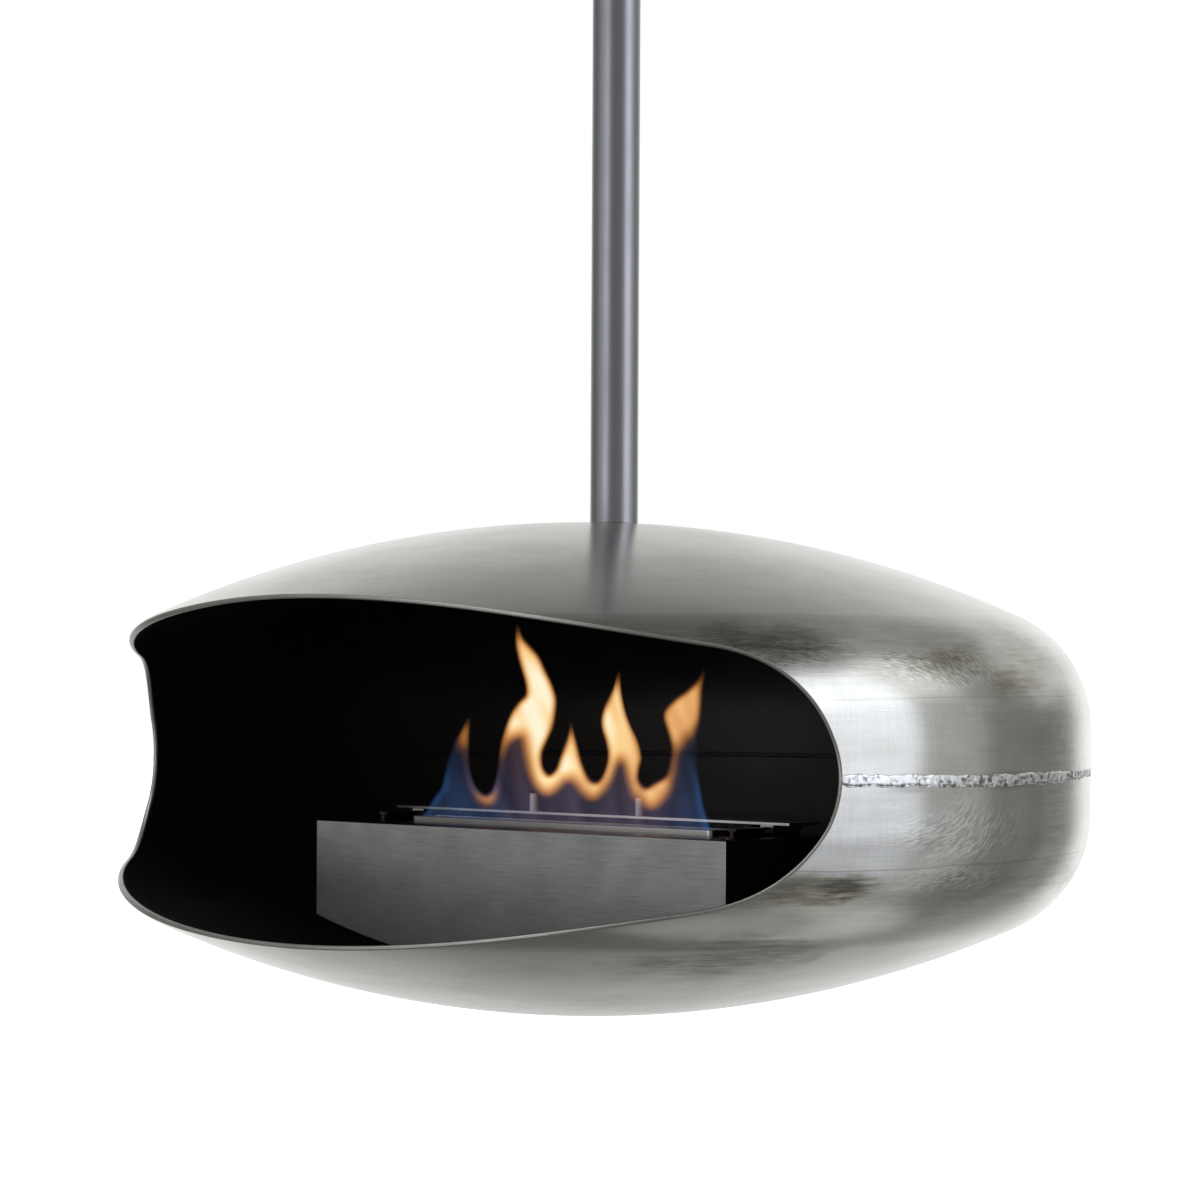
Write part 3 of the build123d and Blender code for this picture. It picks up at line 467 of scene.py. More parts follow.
        # Patina: two belts where the ends curve in, stains, and faint clouds and streaks
        middle = add("MapRange", height, -0.01, 0.01, self.bowl_belt, self.dome_belt, **EASED)
        belt = add("Math.ABSOLUTE", add("Math.SUBTRACT", level, middle))
        belt = add("Math.MULTIPLY", add("MapRange", belt, 0.002, 0.036, 0.17, 0.0, **EASED),
                   add("MapRange", patchy, 0.35, 0.65, 0.4, 1.0, **EASED))
        for stain in self.stains:
            belt = add("Math.MAXIMUM", belt, blot(stain)[2])
        clouds = add("TexNoise", {"Vector": add("VectorMath.MULTIPLY", local, (7.0, 7.0, 22.0)), "Scale": 1.0,
                                  "Detail": 6.0, "Roughness": 0.6})
        clouds, streaks, feathers = (add("Math.SUBTRACT", each, 0.5) for each in (clouds, streaks, feathers))
        calm = add("Math.MULTIPLY_ADD", clouds, 0.45, add("Math.MULTIPLY", streaks, 0.12))
        busy = add("Math.MULTIPLY_ADD", feathers, 2.6, add("Math.MULTIPLY", streaks, 2.4))
        busy = add("Math.MULTIPLY_ADD", clouds, 3.0, busy)
        age = add("Math.MULTIPLY_ADD", belt, add("Math.ADD", busy, 1.0), add("Math.ADD", calm, 0.12))
        tone = add("ValToRGB", age, stops=((0.05, self.bright), (0.50, self.patina), (0.95, self.smoke)))

        # Each grain shades its own lines, and the scratches are the strongest. Darker still are a
        # band below the weld, smudges beside it and the line where the disc was stopped.
        force = add("MapRange", level, 0.11, 0.16, 0.18, 0.20, **EASED)
        force = add("Math.MULTIPLY_ADD", bitten, 0.38, force)
        shift = add("Math.MULTIPLY_ADD", add("Math.SUBTRACT", grain, 0.5), force, 0.98)
        off_band = add("Math.ABSOLUTE", add("Math.ADD", height, 0.034))
        low_band = add("MapRange", off_band, 0.018, 0.040, 1.0, 0.0, **EASED)
        near_tip = add("MapRange", turn, math.radians(76), math.radians(86), 1.0, 0.3, **EASED)
        shift = add("Math.MULTIPLY_ADD", add("Math.MULTIPLY", low_band, near_tip), -0.20, shift)
        upright = add("MapRange", level, 0.08, 0.13, 0.20, 0.08, **EASED)
        shift = add("Math.MULTIPLY_ADD", add("Math.SUBTRACT", uprights, 0.5), upright, shift)
        beside = add("Math.MULTIPLY_ADD", ragged, -0.006, level)
        beside = add("MapRange", beside, 0.002, 0.008, 1.0, 0.0, **EASED)
        smudge = add("Math.MULTIPLY", beside, add("MapRange", smudged, 0.42, 0.60, **EASED))
        shift = add("Math.MULTIPLY_ADD", smudge, -0.26, shift)
        away = add("Math.ADD", level, add("Math.MULTIPLY_ADD", wavy, 0.010, -0.005))
        away = add("Math.ABSOLUTE", add("Math.SUBTRACT", away, self.edge_level))
        stop = add("MapRange", away, 0.0002, 0.0013, 1.0, 0.0, **EASED)
        faint = add("Math.MULTIPLY", stop, add("MapRange", height, -0.03, 0.03, 1.0, 0.4, **EASED))
        shift = add("Math.MULTIPLY_ADD", faint, -0.20, shift)

        gloss = add("MapRange", age, 0.1, 0.9, self.roughness - 0.02, self.roughness + 0.12)
        gloss = add("Math.MULTIPLY_ADD", add("Math.SUBTRACT", grain, 0.5), 0.05, gloss)
        dents = add("TexNoise", {"Vector": local, "Scale": 9.0, "Detail": 1.0})
        coarse = add("Bump", {"Height": dents, "Distance": 0.8 * MM, "Strength": 0.25})
        cut = add("Math.MULTIPLY", grain, add("Math.MULTIPLY_ADD", bitten, -0.45, 1.0))
        cut = add("Math.MULTIPLY_ADD", stop, -0.6, cut)
        return add("BsdfPrincipled", {
            "Base Color": add("VectorMath.SCALE", tone, {"Scale": shift}), "Metallic": 1.0,
            "Roughness": gloss, "Anisotropic": 0.65, "Anisotropic Rotation": 0.25,
            "Normal": add("Bump", {"Height": cut, "Distance": 0.1 * MM, "Strength": 0.6, "Normal": coarse}),
            "Tangent": add("Tangent", direction_type="RADIAL", axis="Z")})


@dataclass(frozen=True)
class BrightSteel(Finish):
    """Steel cut or polished bright: a clean grey metal with fine drawn lines and slight tarnish."""

    colour: str = "#c4c2bd"
    roughness: float = 0.28
    line_mm: float = 1.2  # drawn coarser than the real lines, which are too fine to show
    stretch: tuple[float, float, float] = (0.04, 1.0, 1.0)  # lines run along the smallest of the three
    depth_mm: float = 0.05
    spread: float = 0.12

    def shade(self, tree: bpy.types.NodeTree) -> bpy.types.Node:
        """Build the drawn lines and the tarnish.

        Args:
            tree: The material's node tree.

        Returns:
            The surface.
        """
        add = partial(put, tree)
        place = add("TexCoord").outputs["Object"]
        drawn = add("VectorMath.MULTIPLY", place, tuple(s / MM / self.line_mm for s in self.stretch))
        lines = add("TexNoise", {"Vector": drawn, "Scale": 1.0, "Detail": 3.0})
        smears = add("TexNoise", {"Vector": place, "Scale": 22.0, "Detail": 4.0})
        mixed = add("Mix", {0: 0.5, 2: lines, 3: smears})
        shift = add("MapRange", mixed, 0.3, 0.7, 1 - self.spread, 1 + self.spread)
        return add("BsdfPrincipled", {
            "Base Color": add("VectorMath.SCALE", linear(self.colour)[:3], {"Scale": shift}), "Metallic": 1.0,
            "Roughness": add("MapRange", mixed, 0.3, 0.7, self.roughness + 0.06, self.roughness - 0.04),
            "Normal": add("Bump", {"Height": lines, "Distance": self.depth_mm * MM, "Strength": 0.5})})


@dataclass(frozen=True)
class WeldMetal(Finish):
    """Arc-welded mild steel brushed with wire: silvery, with grey scale in its hollows and painted shade in
    its crevice.
    """

    bright: str = "#eceeed"
    dull: str = "#83817b"
    pit: str = "#55544f"
    pit_mm: float = 4.0

    def shade(self, tree: bpy.types.NodeTree) -> bpy.types.Node:
        """Build the pits, the scale in the hollows of the mesh and the painted shade in its crevice.

        Args:
            tree: The material's node tree.

        Returns:
            The surface.
        """
        add = partial(put, tree)
        place = add("TexCoord").outputs["Object"]
        pits = add("TexNoise", {"Vector": place, "Scale": 1 / MM / self.pit_mm, "Detail": 2.0,
                                "Roughness": 0.5})
        crust = add("TexNoise", {"Vector": place, "Scale": 60.0, "Detail": 3.0})
        # The mesh's attribute darkens the bead: real grey scale between its drops, and painted shade in the
        # crevice along its lower edge
        scale_and_shade = add("Attribute", attribute_name="scale_and_shade").outputs["Fac"]
        clean_and_unshaded = add("Math.MULTIPLY_ADD", scale_and_shade, -0.23, add("Mix", {0: 0.45, 2: pits, 3: crust}))
        tone = add("ValToRGB", clean_and_unshaded, stops=((0.14, self.pit), (0.32, self.dull), (0.47, self.bright)))
        return add("BsdfPrincipled", {
            "Base Color": tone, "Metallic": 1.0,
            "Roughness": add("MapRange", clean_and_unshaded, 0.38, 0.56, 0.46, 0.30),
            "Normal": add("Bump", {"Height": pits, "Distance": 0.1 * MM, "Strength": 0.5})})


@dataclass(frozen=True)
class HeatproofPaint(Finish):
    """Heatproof silicone paint, sprayed matt: near black, with dusty patches and a dry, fine grain."""

    colour: str = "#212122"
    dust: str = "#302f2f"
    roughness: float = 0.48
    grain_mm: float = 1.5  # drawn coarser than the real orange peel of 0.5 mm

    def shade(self, tree: bpy.types.NodeTree) -> bpy.types.Node:
        """Build the dust and the orange peel.

        Args:
            tree: The material's node tree.

        Returns:
            The surface.
        """
        add = partial(put, tree)
        place = add("TexCoord").outputs["Object"]
        patches = add("TexNoise", {"Vector": place, "Scale": 6.0, "Detail": 5.0})
        peel = add("TexNoise", {"Vector": place, "Scale": 1 / MM / self.grain_mm, "Detail": 1.0})
        return add("BsdfPrincipled", {
            "Base Color": add("ValToRGB", patches, stops=((0.42, self.colour), (0.72, self.dust))),
            "Roughness": add("MapRange", patches, 0.3, 0.7, self.roughness - 0.06, self.roughness + 0.08),
            "Normal": add("Bump", {"Height": peel, "Distance": 0.1 * MM, "Strength": 0.4})})


@dataclass(frozen=True)
class SootedSteel(Finish):
    """Stainless sheet darkened by the fire: brown and blue heat tints over a still shiny metal."""

    colour: str = "#4a4541"
    tint: str = "#5a4638"
    roughness: float = 0.24

    def shade(self, tree: bpy.types.NodeTree) -> bpy.types.Node:
        """Build the bands of heat tint.

        Args:
            tree: The material's node tree.

        Returns:
            The surface.
        """
        add = partial(put, tree)
        stretched = add("VectorMath.MULTIPLY", add("TexCoord").outputs["Object"], (4.0, 30.0, 30.0))
        bands = add("TexNoise", {"Vector": stretched, "Scale": 1.0, "Detail": 4.0})
        return add("BsdfPrincipled", {
            "Base Color": add("ValToRGB", bands, stops=((0.35, self.colour), (0.65, self.tint))),
            "Metallic": 1.0,
            "Roughness": add("MapRange", bands, 0.3, 0.7, self.roughness, self.roughness + 0.12)})


@dataclass(frozen=True)
class FibreBlock(Finish):
    """Ceramic fibre pressed to a block: chalky, off-white, with loose fibres and scorched spots."""

    colour: str = "#d8d4c8"
    scorch: str = "#8d8068"

    def shade(self, tree: bpy.types.NodeTree) -> bpy.types.Node:
        """Build the fibres and the scorched spots.

        Args:
            tree: The material's node tree.

        Returns:
            The surface.
        """
        add = partial(put, tree)
        place = add("TexCoord").outputs["Object"]
        fibres = add("TexNoise", {"Vector": place, "Scale": 260.0, "Detail": 6.0})
        spots = add("TexNoise", {"Vector": place, "Scale": 20.0, "Detail": 3.0})
        return add("BsdfPrincipled", {
            "Base Color": add("ValToRGB", spots, stops=((0.35, self.scorch), (0.55, self.colour))),
            "Roughness": 0.95,
            "Normal": add("Bump", {"Height": fibres, "Distance": 0.6 * MM, "Strength": 0.7})})


@dataclass(frozen=True)
class BraidedSeal(Finish):
    """Glass and graphite yarn braided flat: dark grey with a diagonal weave and a dull sheen."""

    colour: str = "#3c3b39"
    gap: str = "#161616"
    weave_scale: float = 24.98733  # of the wave texture: one plait of several yarns every 12.57 mm

    def shade(self, tree: bpy.types.NodeTree) -> bpy.types.Node:
        """Build the diagonal weave.

        Args:
            tree: The material's node tree.

        Returns:
            The surface.
        """
        add = partial(put, tree)
        place = add("TexCoord").outputs["Object"]
        turned = add("Mapping", {"Vector": place, "Rotation": (0, 0, math.radians(45))})
        waves = [add("TexWave", {"Vector": turned, "Scale": self.weave_scale}, bands_direction=axis)
                 .outputs["Fac"] for axis in ("X", "Y")]
        weave = add("Math.MULTIPLY", *waves)
        return add("BsdfPrincipled", {
            "Base Color": add("ValToRGB", weave, stops=((0.1, self.gap), (0.8, self.colour))),
            "Roughness": 0.8,
            "Normal": add("Bump", {"Height": weave, "Distance": 0.8 * MM, "Strength": 0.8})})


@dataclass(frozen=True)
class Fire(Finish):
    """Burning ethanol vapour: a blue veil at the foot and soft yellow tongues of glowing soot."""

    strength: float = 0.5
    ceiling: float = float(SHELL_CENTRE[2]) + 0.232  # just below the dome, in the frame
    soot: tuple[tuple[float, str], ...] = (
        (0.0, "#000000"), (0.14, "#45290f"), (0.34, "#a86c30"), (0.60, "#e5a866"), (0.84, "#fdd592"),
        (1.0, "#fff4d2"))
    veil: str = "#212e48"
    veil_edge: str = "#305a92"

    def shade(self, tree: bpy.types.NodeTree) -> bpy.types.Node:
        """Add the light of soot and veil, which the mesh holds, to what is seen through them.

        Args:
            tree: The material's node tree.

        Returns:
            The surface.
        """
        add = partial(put, tree)
        glow, veil, edge = (add("Attribute", attribute_name=name).outputs["Fac"]
                            for name in ("glow", "veil", "edge"))
        blue = add("Mix", {0: edge, 6: linear(self.veil), 7: linear(self.veil_edge)}, data_type="RGBA")
        blue = add("VectorMath.SCALE", blue.outputs[2], {"Scale": veil})
        both = add("VectorMath.ADD", add("ValToRGB", glow, stops=self.soot), blue)
        # Fire can't pass the dome: a tongue that reaches it, as when the burner is lifted, ends below it
        height = add("SeparateXYZ", add("NewGeometry").outputs["Position"]).outputs[2]
        free = add("MapRange", height, self.ceiling - 0.02, self.ceiling, 1.0, 0.0, **EASED)
        both = add("VectorMath.SCALE", both, {"Scale": free})
        return add("AddShader", add("Emission", both, self.strength), add("BsdfTransparent"))


@dataclass(frozen=True)
class StudioFloor(Finish):
    """Pale painted studio floor, evenly rolled."""

    colour: str = "#e9e9e8"
    roller: str = "#efefee"
    glow: float = 1.0

    def shade(self, tree: bpy.types.NodeTree) -> bpy.types.Node:
        """Build the marks of the roller.

        Args:
            tree: The material's node tree.

        Returns:
            The surface.
        """
        add = partial(put, tree)
        roll = add("TexNoise", {"Vector": add("TexCoord").outputs["Object"], "Scale": 3.0, "Detail": 3.0})
        tone = add("Mix", {0: roll, 6: linear(self.colour), 7: linear(self.roller)}, data_type="RGBA")
        return add("BsdfPrincipled", {"Base Color": tone.outputs[2], "Roughness": 0.8,
                                      "Emission Color": (1, 1, 1, 1), "Emission Strength": self.glow})


EVEN = (1.0, 1.0, 1.0)  # grain that runs no way

# Pressed and ground mild steel, the shell's outside
SHELL_FINISH = GroundSteel("ground_mild_steel")
# The plate's edge where the opening was cut, filed and buffed bright
CUT_EDGE = BrightSteel("filed_steel_edge", colour="#b9b7b0", roughness=0.36, line_mm=2.0, stretch=EVEN,
                       depth_mm=0.15, spread=0.2)
WELD = WeldMetal("wire_brushed_weld")
PAINT = HeatproofPaint("heatproof_matt_paint")
# Cold-drawn tube, blued and lacquered satin, with faint draw lines along its length
POLE = BrightSteel("drawn_steel_tube", colour="#a8a9ac", roughness=0.33, stretch=(1.0, 1.0, 0.01),
                   spread=0.06)
# Spun cover in the same finish, its lines round the axis
COVER = BrightSteel("spun_steel_cover", colour="#a8a9ac", roughness=0.34, stretch=(0.3, 0.3, 1.0),
                    spread=0.05)
# Stainless sheet brushed along its length with a belt
FASCIA = BrightSteel("brushed_stainless_sheet", colour="#bcbebc", roughness=0.38, line_mm=1.8,
                     stretch=(0.05, 1.0, 1.0), spread=0.24)
# Stainless strip and rod, polished
POLISHED = BrightSteel("polished_stainless", colour="#d0cecb", roughness=0.2, stretch=(0.05, 1.0, 1.0),
                       spread=0.05)
# The damper's posts: stainless rod, blasted satin
ROD = BrightSteel("satin_stainless_rod", colour="#e2dfdd", roughness=0.7, stretch=EVEN, spread=0.06)
TOP = SootedSteel("heat_tinted_stainless")
WOOL = FibreBlock("pressed_ceramic_fibre")
BRAID = BraidedSeal("braided_graphite_yarn")
# Bearing bronze, turned
BRONZE = BrightSteel("turned_bronze", colour="#b98a4c", roughness=0.28, stretch=(1.0, 1.0, 0.2), spread=0.08)
# Mild steel turned on a lathe and oiled
TURNED = BrightSteel("turned_mild_steel", colour="#b2b1ae", roughness=0.3, stretch=(0.4, 0.4, 1.0),
                     spread=0.07)
# Zinc plated steel, slightly blue, as screws and nuts are
ZINC = BrightSteel("zinc_plated_steel", colour="#c3c8cc", roughness=0.32, stretch=EVEN, spread=0.08)
# Hardened and ground bearing steel
GROUND_BALLS = BrightSteel("ground_bearing_steel", colour="#cfd0d1", roughness=0.12, stretch=EVEN,
                           spread=0.03)
FIRE = Fire("ethanol_flame")
FLOOR = StudioFloor("rolled_floor_paint")


# --- Shell ------------------------------------------------------------------------------------


@dataclass(frozen=True)
class DishedForm:
    """Meridian of the two pressed ends, from the shell's centre."""

    radius: float = SHELL_RADIUS
    flange: float = 0.042
    knuckle: float = 0.122
    crown: float = 1.040

    @property
    def crown_height(self) -> float:
        """Height of the crown arc's centre, which is below the weld."""
        return self.flange - math.sqrt((self.crown - self.knuckle) ** 2 - (self.radius - self.knuckle) ** 2)

    def slope(self) -> np.ndarray:
        """Find the direction from the crown's centre to where the knuckle begins.

        Returns:
            It as (radius, height), of a length of one.
        """
        toward = np.array((self.radius - self.knuckle, self.flange - self.crown_height))
        return toward / np.linalg.norm(toward)

    def radius_at(self, height: np.ndarray) -> np.ndarray:
        """Find the form's outer radius.

        Args:
            height: Heights above or below the weld.

        Returns:
            The radius at each.
        """
        up = np.abs(height)
        turn = self.crown_height + self.slope()[1] * self.crown
        bend = np.sqrt(np.maximum(self.knuckle**2 - (up - self.flange) ** 2, 0.0))
        crown = np.sqrt(np.maximum(self.crown**2 - (up - self.crown_height) ** 2, 0.0))
        curved = np.where(up <= turn, self.radius - self.knuckle + bend, crown)
        return np.where(up <= self.flange, self.radius, curved)

    def surface(self, directions: np.ndarray, inset: float) -> tuple[np.ndarray, np.ndarray]:
        """Find where rays from the centre meet the form.

        Args:
            directions: Unit directions from the centre.
            inset: Distance of the wanted skin inside the outer one.

        Returns:
            Points relative to the centre, and unit normals outward.
        """
        across = np.hypot(directions[:, 0], directions[:, 1])
        up = np.abs(directions[:, 2])
        safe = np.maximum(across, 1e-9)
        knuckle, crown = self.knuckle - inset, self.crown - inset
        knuckle_r = self.radius - self.knuckle
        along = across * knuckle_r + up * self.flange
        to_knuckle = along + np.sqrt(np.maximum(along**2 - knuckle_r**2 - self.flange**2 + knuckle**2, 0.0))
        rise = up * self.crown_height
        to_crown = rise + np.sqrt(rise**2 - self.crown_height**2 + crown**2)
        to_flange = (self.radius - inset) / safe
        start = self.slope() * crown + np.array((0.0, self.crown_height))
        on_flange = to_flange * up <= self.flange
        on_crown = np.arctan2(up, across) >= math.atan2(start[1], start[0])
        length = np.where(on_flange, to_flange, np.where(on_crown, to_crown, to_knuckle))
        r, z = across * length, up * length
        lean_r = np.where(on_flange, 1.0, np.where(on_crown, r / crown, (r - knuckle_r) / knuckle))
        lean_z = np.where(on_crown, (z - self.crown_height) / crown, (z - self.flange) / knuckle)
        lean_z = np.where(on_flange, 0.0, lean_z)
        normals = np.stack((lean_r * directions[:, 0] / safe, lean_r * directions[:, 1] / safe,
                            lean_z * np.sign(directions[:, 2])), axis=1)
        return directions * length[:, None], unit(normals)


@dataclass(frozen=True)
class FireOpening:
    """Outline of the fire opening, as it was cut straight through the front."""

    half_width: float = 0.470
    half_height: float = 0.164
    rise: float = 0.005
    # Radii of the long arcs, the shoulders and the end; the left end was cut squarer than the right
    right_radii: tuple[float, float, float] = (1.750, 0.100, 0.230)
    left_radii: tuple[float, float, float] = (1.500, 0.080, 0.300)

    def quarter_line(self, radii: tuple[float, float, float], count: int) -> np.ndarray:
        """Space points evenly on the right upper quarter, from its tip to its top.

        Args:
            radii: Radii of the long arc, the shoulder and the end.
            count: Steps between the points.

        Returns:
            One point more than that, as (x, height).
        """
        crown_radius, shoulder_radius, end_radius = radii
        crown = np.array((0.0, self.half_height - crown_radius))
        end = np.array((self.half_width - end_radius, 0.0))
        reach_crown, reach_end = crown_radius - shoulder_radius, end_radius - shoulder_radius
        apart = np.linalg.norm(end - crown)
        toward = (end - crown) / apart
        along = (apart**2 + reach_crown**2 - reach_end**2) / (2 * apart)
        aside = np.array((toward[1], -toward[0])) * math.sqrt(reach_crown**2 - along**2)
        shoulder = crown + toward * along + aside
        top_angle = math.atan2(*(shoulder - crown)[::-1])
        side_angle = math.atan2(*(shoulder - end)[::-1])
        arcs = ((end, end_radius, 0.0, side_angle), (shoulder, shoulder_radius, side_angle, top_angle),
                (crown, crown_radius, top_angle, math.pi / 2))
        dense = np.concatenate([centre + radius * np.stack((np.cos(a), np.sin(a)), axis=1)
                                for centre, radius, low, high in arcs for a in [np.linspace(low, high, 400)]])
        steps = np.concatenate(((0.0,), np.cumsum(np.linalg.norm(np.diff(dense, axis=0), axis=1))))
        wanted = np.linspace(0.0, steps[-1], count + 1)
        return np.stack([np.interp(wanted, steps, dense[:, i]) for i in (0, 1)], axis=1)

    def outline(self, quarter: int) -> np.ndarray:
        """Follow the outline from its right tip over the top.

        Args:
            quarter: Points in each quarter.

        Returns:
            Four times that many points, as (x, height).
        """
        right = self.quarter_line(self.right_radii, quarter)
        left = self.quarter_line(self.left_radii, quarter) * (-1, 1)
        below = (1, -1)
        whole = np.concatenate((right[:-1], left[::-1][:-1], left[:-1] * below, right[::-1][:-1] * below))
        return whole + (0.0, self.rise)


class Half(Enum):
    """The two pressed ends of the shell."""

    DOME = "upper_shell"
    BOWL = "lower_shell"


class Side(IntEnum):
    """The sides of the plate, numbered as their finishes are."""

    OUTSIDE = 0
    CUT = 1
    INSIDE = 2


@dataclass
class FireShell:
    """Dome and bowl with their cut lips, and the weld between them."""

    form: DishedForm = field(default_factory=DishedForm)
    opening: FireOpening = field(default_factory=FireOpening)
    wall: float = 0.0048
    lip_swell: float = 0.0030  # how much thicker the lip is where it was rolled, left above and below
    lip_thin: float = 0.0016  # and how much thinner it was filed at the left end
    lip_nose: float = 0.0024  # how far the rounding of the lip reaches
    lip_bulge: float = 0.0009  # and how much of it stands into the cut
    lip_fade: float = 0.12  # share of the way to the back over which the lip's thickness becomes the wall's
    quarter: int = 130
    rows: int = 170
    inner_rows: int = 70
    lip_steps: int = 12
    bead_width: float = 0.013
    bead_height: float = 0.0016
    bead_step: float = 0.0008
    bead_parts: int = 18
    bead_tip_rise: float = 0.0030  # how far the bead climbs beside the opening's right tip
    drop_pitch: float = 0.0115
    even_length: float = 0.075  # first stretch, which was laid without drops
    root_rows: int = 900
    root_parts: int = 8
    root_half: float = 0.0028  # half its width
    root_height: float = 0.0009
    overlap: float = 0.001  # how deep both runs reach into the plate

    def lip_edge(self) -> tuple[np.ndarray, np.ndarray, np.ndarray]:
        """Follow the lip on the outer skin.

        Returns:
            Points round the lip, their normals, and the way into the opening.
        """
        x, z = self.opening.outline(self.quarter).T
        depth = -np.sqrt(self.form.radius_at(z) ** 2 - x**2)
        points, normals = self.form.surface(unit(np.stack((x, depth, z), axis=1)), 0.0)
        inward = unit(np.cross(normals, np.roll(points, -1, axis=0) - np.roll(points, 1, axis=0)))
        toward = np.array((0.0, -self.form.radius, 0.0)) - points
        inward *= np.sign(np.sum(inward * toward, axis=1))[:, None]
        points, normals = self.form.surface(unit(points - inward * (self.lip_nose - self.lip_bulge)), 0.0)
        return points, normals, unit(inward - np.sum(inward * normals, axis=1)[:, None] * normals)

    def lip_wall(self, inward: np.ndarray) -> np.ndarray:
        """Find the thickness of the plate round the lip.

        Args:
            inward: The way into the opening at each point.

        Returns:
            The thickness at each point.
        """
        leftward = ease(-self.opening.outline(self.quarter)[:, 0], 0.05, 0.30)
        across, _, upright = np.abs(inward).T
        return self.wall + leftward * (self.lip_swell * upright - self.lip_thin * across**3)

    def skin(self, start: np.ndarray, inset: float, rows: int, extra: np.ndarray | float
             ) -> tuple[np.ndarray, np.ndarray]:
        """Lay rows of points from the lip to the middle of the back, on one skin.

        Args:
            start: Points round the lip.
            inset: Distance of the skin inside the outer one.
            rows: Rows to the middle of the back.
            extra: How much further in the skin begins at the lip.

        Returns:
            Points and outward normals.
        """
        first = unit(start)
        back = np.array((0.0, 1.0, 0.0))
        angle = np.arccos(np.clip(first @ back, -1, 1))
        points, normals = [], []
        for row in range(1, rows):
            share = row / rows
            way = np.sin((1 - share) * angle)[:, None] * first + np.sin(share * angle)[:, None] * back
            p, n = self.form.surface(unit(way), inset)
            fade = max(1.0 - share / self.lip_fade, 0.0) ** 2
            points.append(p - n * np.reshape(extra * fade, (-1, 1)))
            normals.append(n)
        tip, tip_normal = self.form.surface(back[None, :], inset)
        return np.concatenate(points + [tip]), np.concatenate(normals + [tip_normal])

    def build_half(self, half: Half) -> bpy.types.Object:
        """Make one pressed end with its part of the opening.

        Args:
            half: Which of the two.

        Returns:
            The finished piece.
        """
        edge, edge_normals, inward = self.lip_edge()
        count = len(edge)
        # The lip's section is a half ellipse that stands a little into the opening
        lip_wall = self.lip_wall(inward)
        half_wall = lip_wall[:, None] / 2
        points, normals = [edge], [edge_normals]
        for step in range(1, self.lip_steps + 1):
            angle = math.pi * step / self.lip_steps
            c, s = math.cos(angle), math.sin(angle)
            points.append(edge - edge_normals * (1 - c) * half_wall + inward * self.lip_nose * s)
            normals.append(unit(edge_normals * c / half_wall + inward * s / self.lip_nose))
        faces = reversed_faces(skin_of(self.lip_steps + 1, count))
        sides = [Side.CUT] * len(faces)
        inner_row, extra_wall = self.lip_steps * count, lip_wall - self.wall
        for side, start, before, inset, rows, extra in (
                (Side.OUTSIDE, edge, 0, 0.0, self.rows, 0.0),
                (Side.INSIDE, points[-1], inner_row, self.wall, self.inner_rows, extra_wall)):
            outside = side is Side.OUTSIDE
            p, n = self.skin(start, inset, rows, extra)
            base = sum(map(len, points))
            points.append(p)
            normals.append(n if outside else -n)
            for here in range(base, base + (rows - 1) * count, count):
                pair = (here, before) if outside else (before, here)
                faces += reversed_faces(between(*pair, count))
                before = here
            tip = base + (rows - 1) * count
            last = [(before + k, before + (k + 1) % count, tip) for k in range(count)]
            faces += [face[::-1] for face in last] if outside else last
            sides += [side] * (rows * count)
        name = "dome_shell" if half is Half.DOME else "bowl_shell"
        piece = piece_from(name, np.concatenate(points) + SHELL_CENTRE, faces,
                           [SHELL_FINISH, CUT_EDGE, PAINT], "hanging_body", (half.value,))
        mesh = piece.data
        mesh.polygons.foreach_set("material_index", sides)
        lean = mesh.attributes.new("lean", "FLOAT_VECTOR", "POINT")
        lean.data.foreach_set("vector", np.concatenate(normals).astype(np.float32).ravel())
        self.keep_half(mesh, half)
        return piece

    def keep_half(self, mesh: bpy.types.Mesh, half: Half) -> None:
        """Part the whole form at the weld, close the cut and give every corner its true normal.

        Args:
            mesh: The whole form, with its normals in the attribute "lean".
            half: The end that stays.
        """
        above = half is Half.DOME
        work = bmesh.new()
        work.from_mesh(mesh)
        cut = bmesh.ops.bisect_plane(work, geom=work.verts[:] + work.edges[:] + work.faces[:], dist=1e-7,
                                     plane_co=SHELL_CENTRE, plane_no=(0, 0, 1), clear_outer=not above,
                                     clear_inner=above)["geom_cut"]
        seam = [part for part in cut if isinstance(part, bmesh.types.BMEdge)]
        closed = bmesh.ops.edgenet_fill(work, edges=seam, mat_nr=int(Side.CUT), use_smooth=False)["faces"]
        closed = set(closed)
        lean = work.verts.layers.float_vector["lean"]
        work.faces.ensure_lookup_table()
        work.normal_update()
        corner_normals = []
        for face in work.faces:
            face.smooth = face not in closed
            corner_normals += [tuple(corner.vert[lean].normalized() if face.smooth else face.normal)
                               for corner in face.loops]
        work.to_mesh(mesh)
        work.free()
        mesh.attributes.remove(mesh.attributes["lean"])
        mesh.normals_split_custom_set(corner_normals)

    def run_end(self, short: float) -> float:
        """Find where a run of weld ends beside the opening.

        Args:
            short: Degrees that it stops before the opening's tip.

        Returns:
            Its angle ahead of the shell's side.
        """
        return math.acos(self.opening.half_width / self.form.radius) - math.radians(short)

    def build_bead(self) -> bpy.types.Object:
        """Lay the weld bead round the shell, from one tip of the opening to the other.

        Returns:
            The finished piece: uneven drops of metal that ran together, a little wider here and there.
        """
        end = self.run_end(0.06)
        length = (math.pi + 2 * end) * self.form.radius
        rows = int(length / self.bead_step)
        points, scale_and_shade_values = [], []
        for row in range(rows + 1):
            s = length * row / rows
            angle = -end + (math.pi + 2 * end) * row / rows
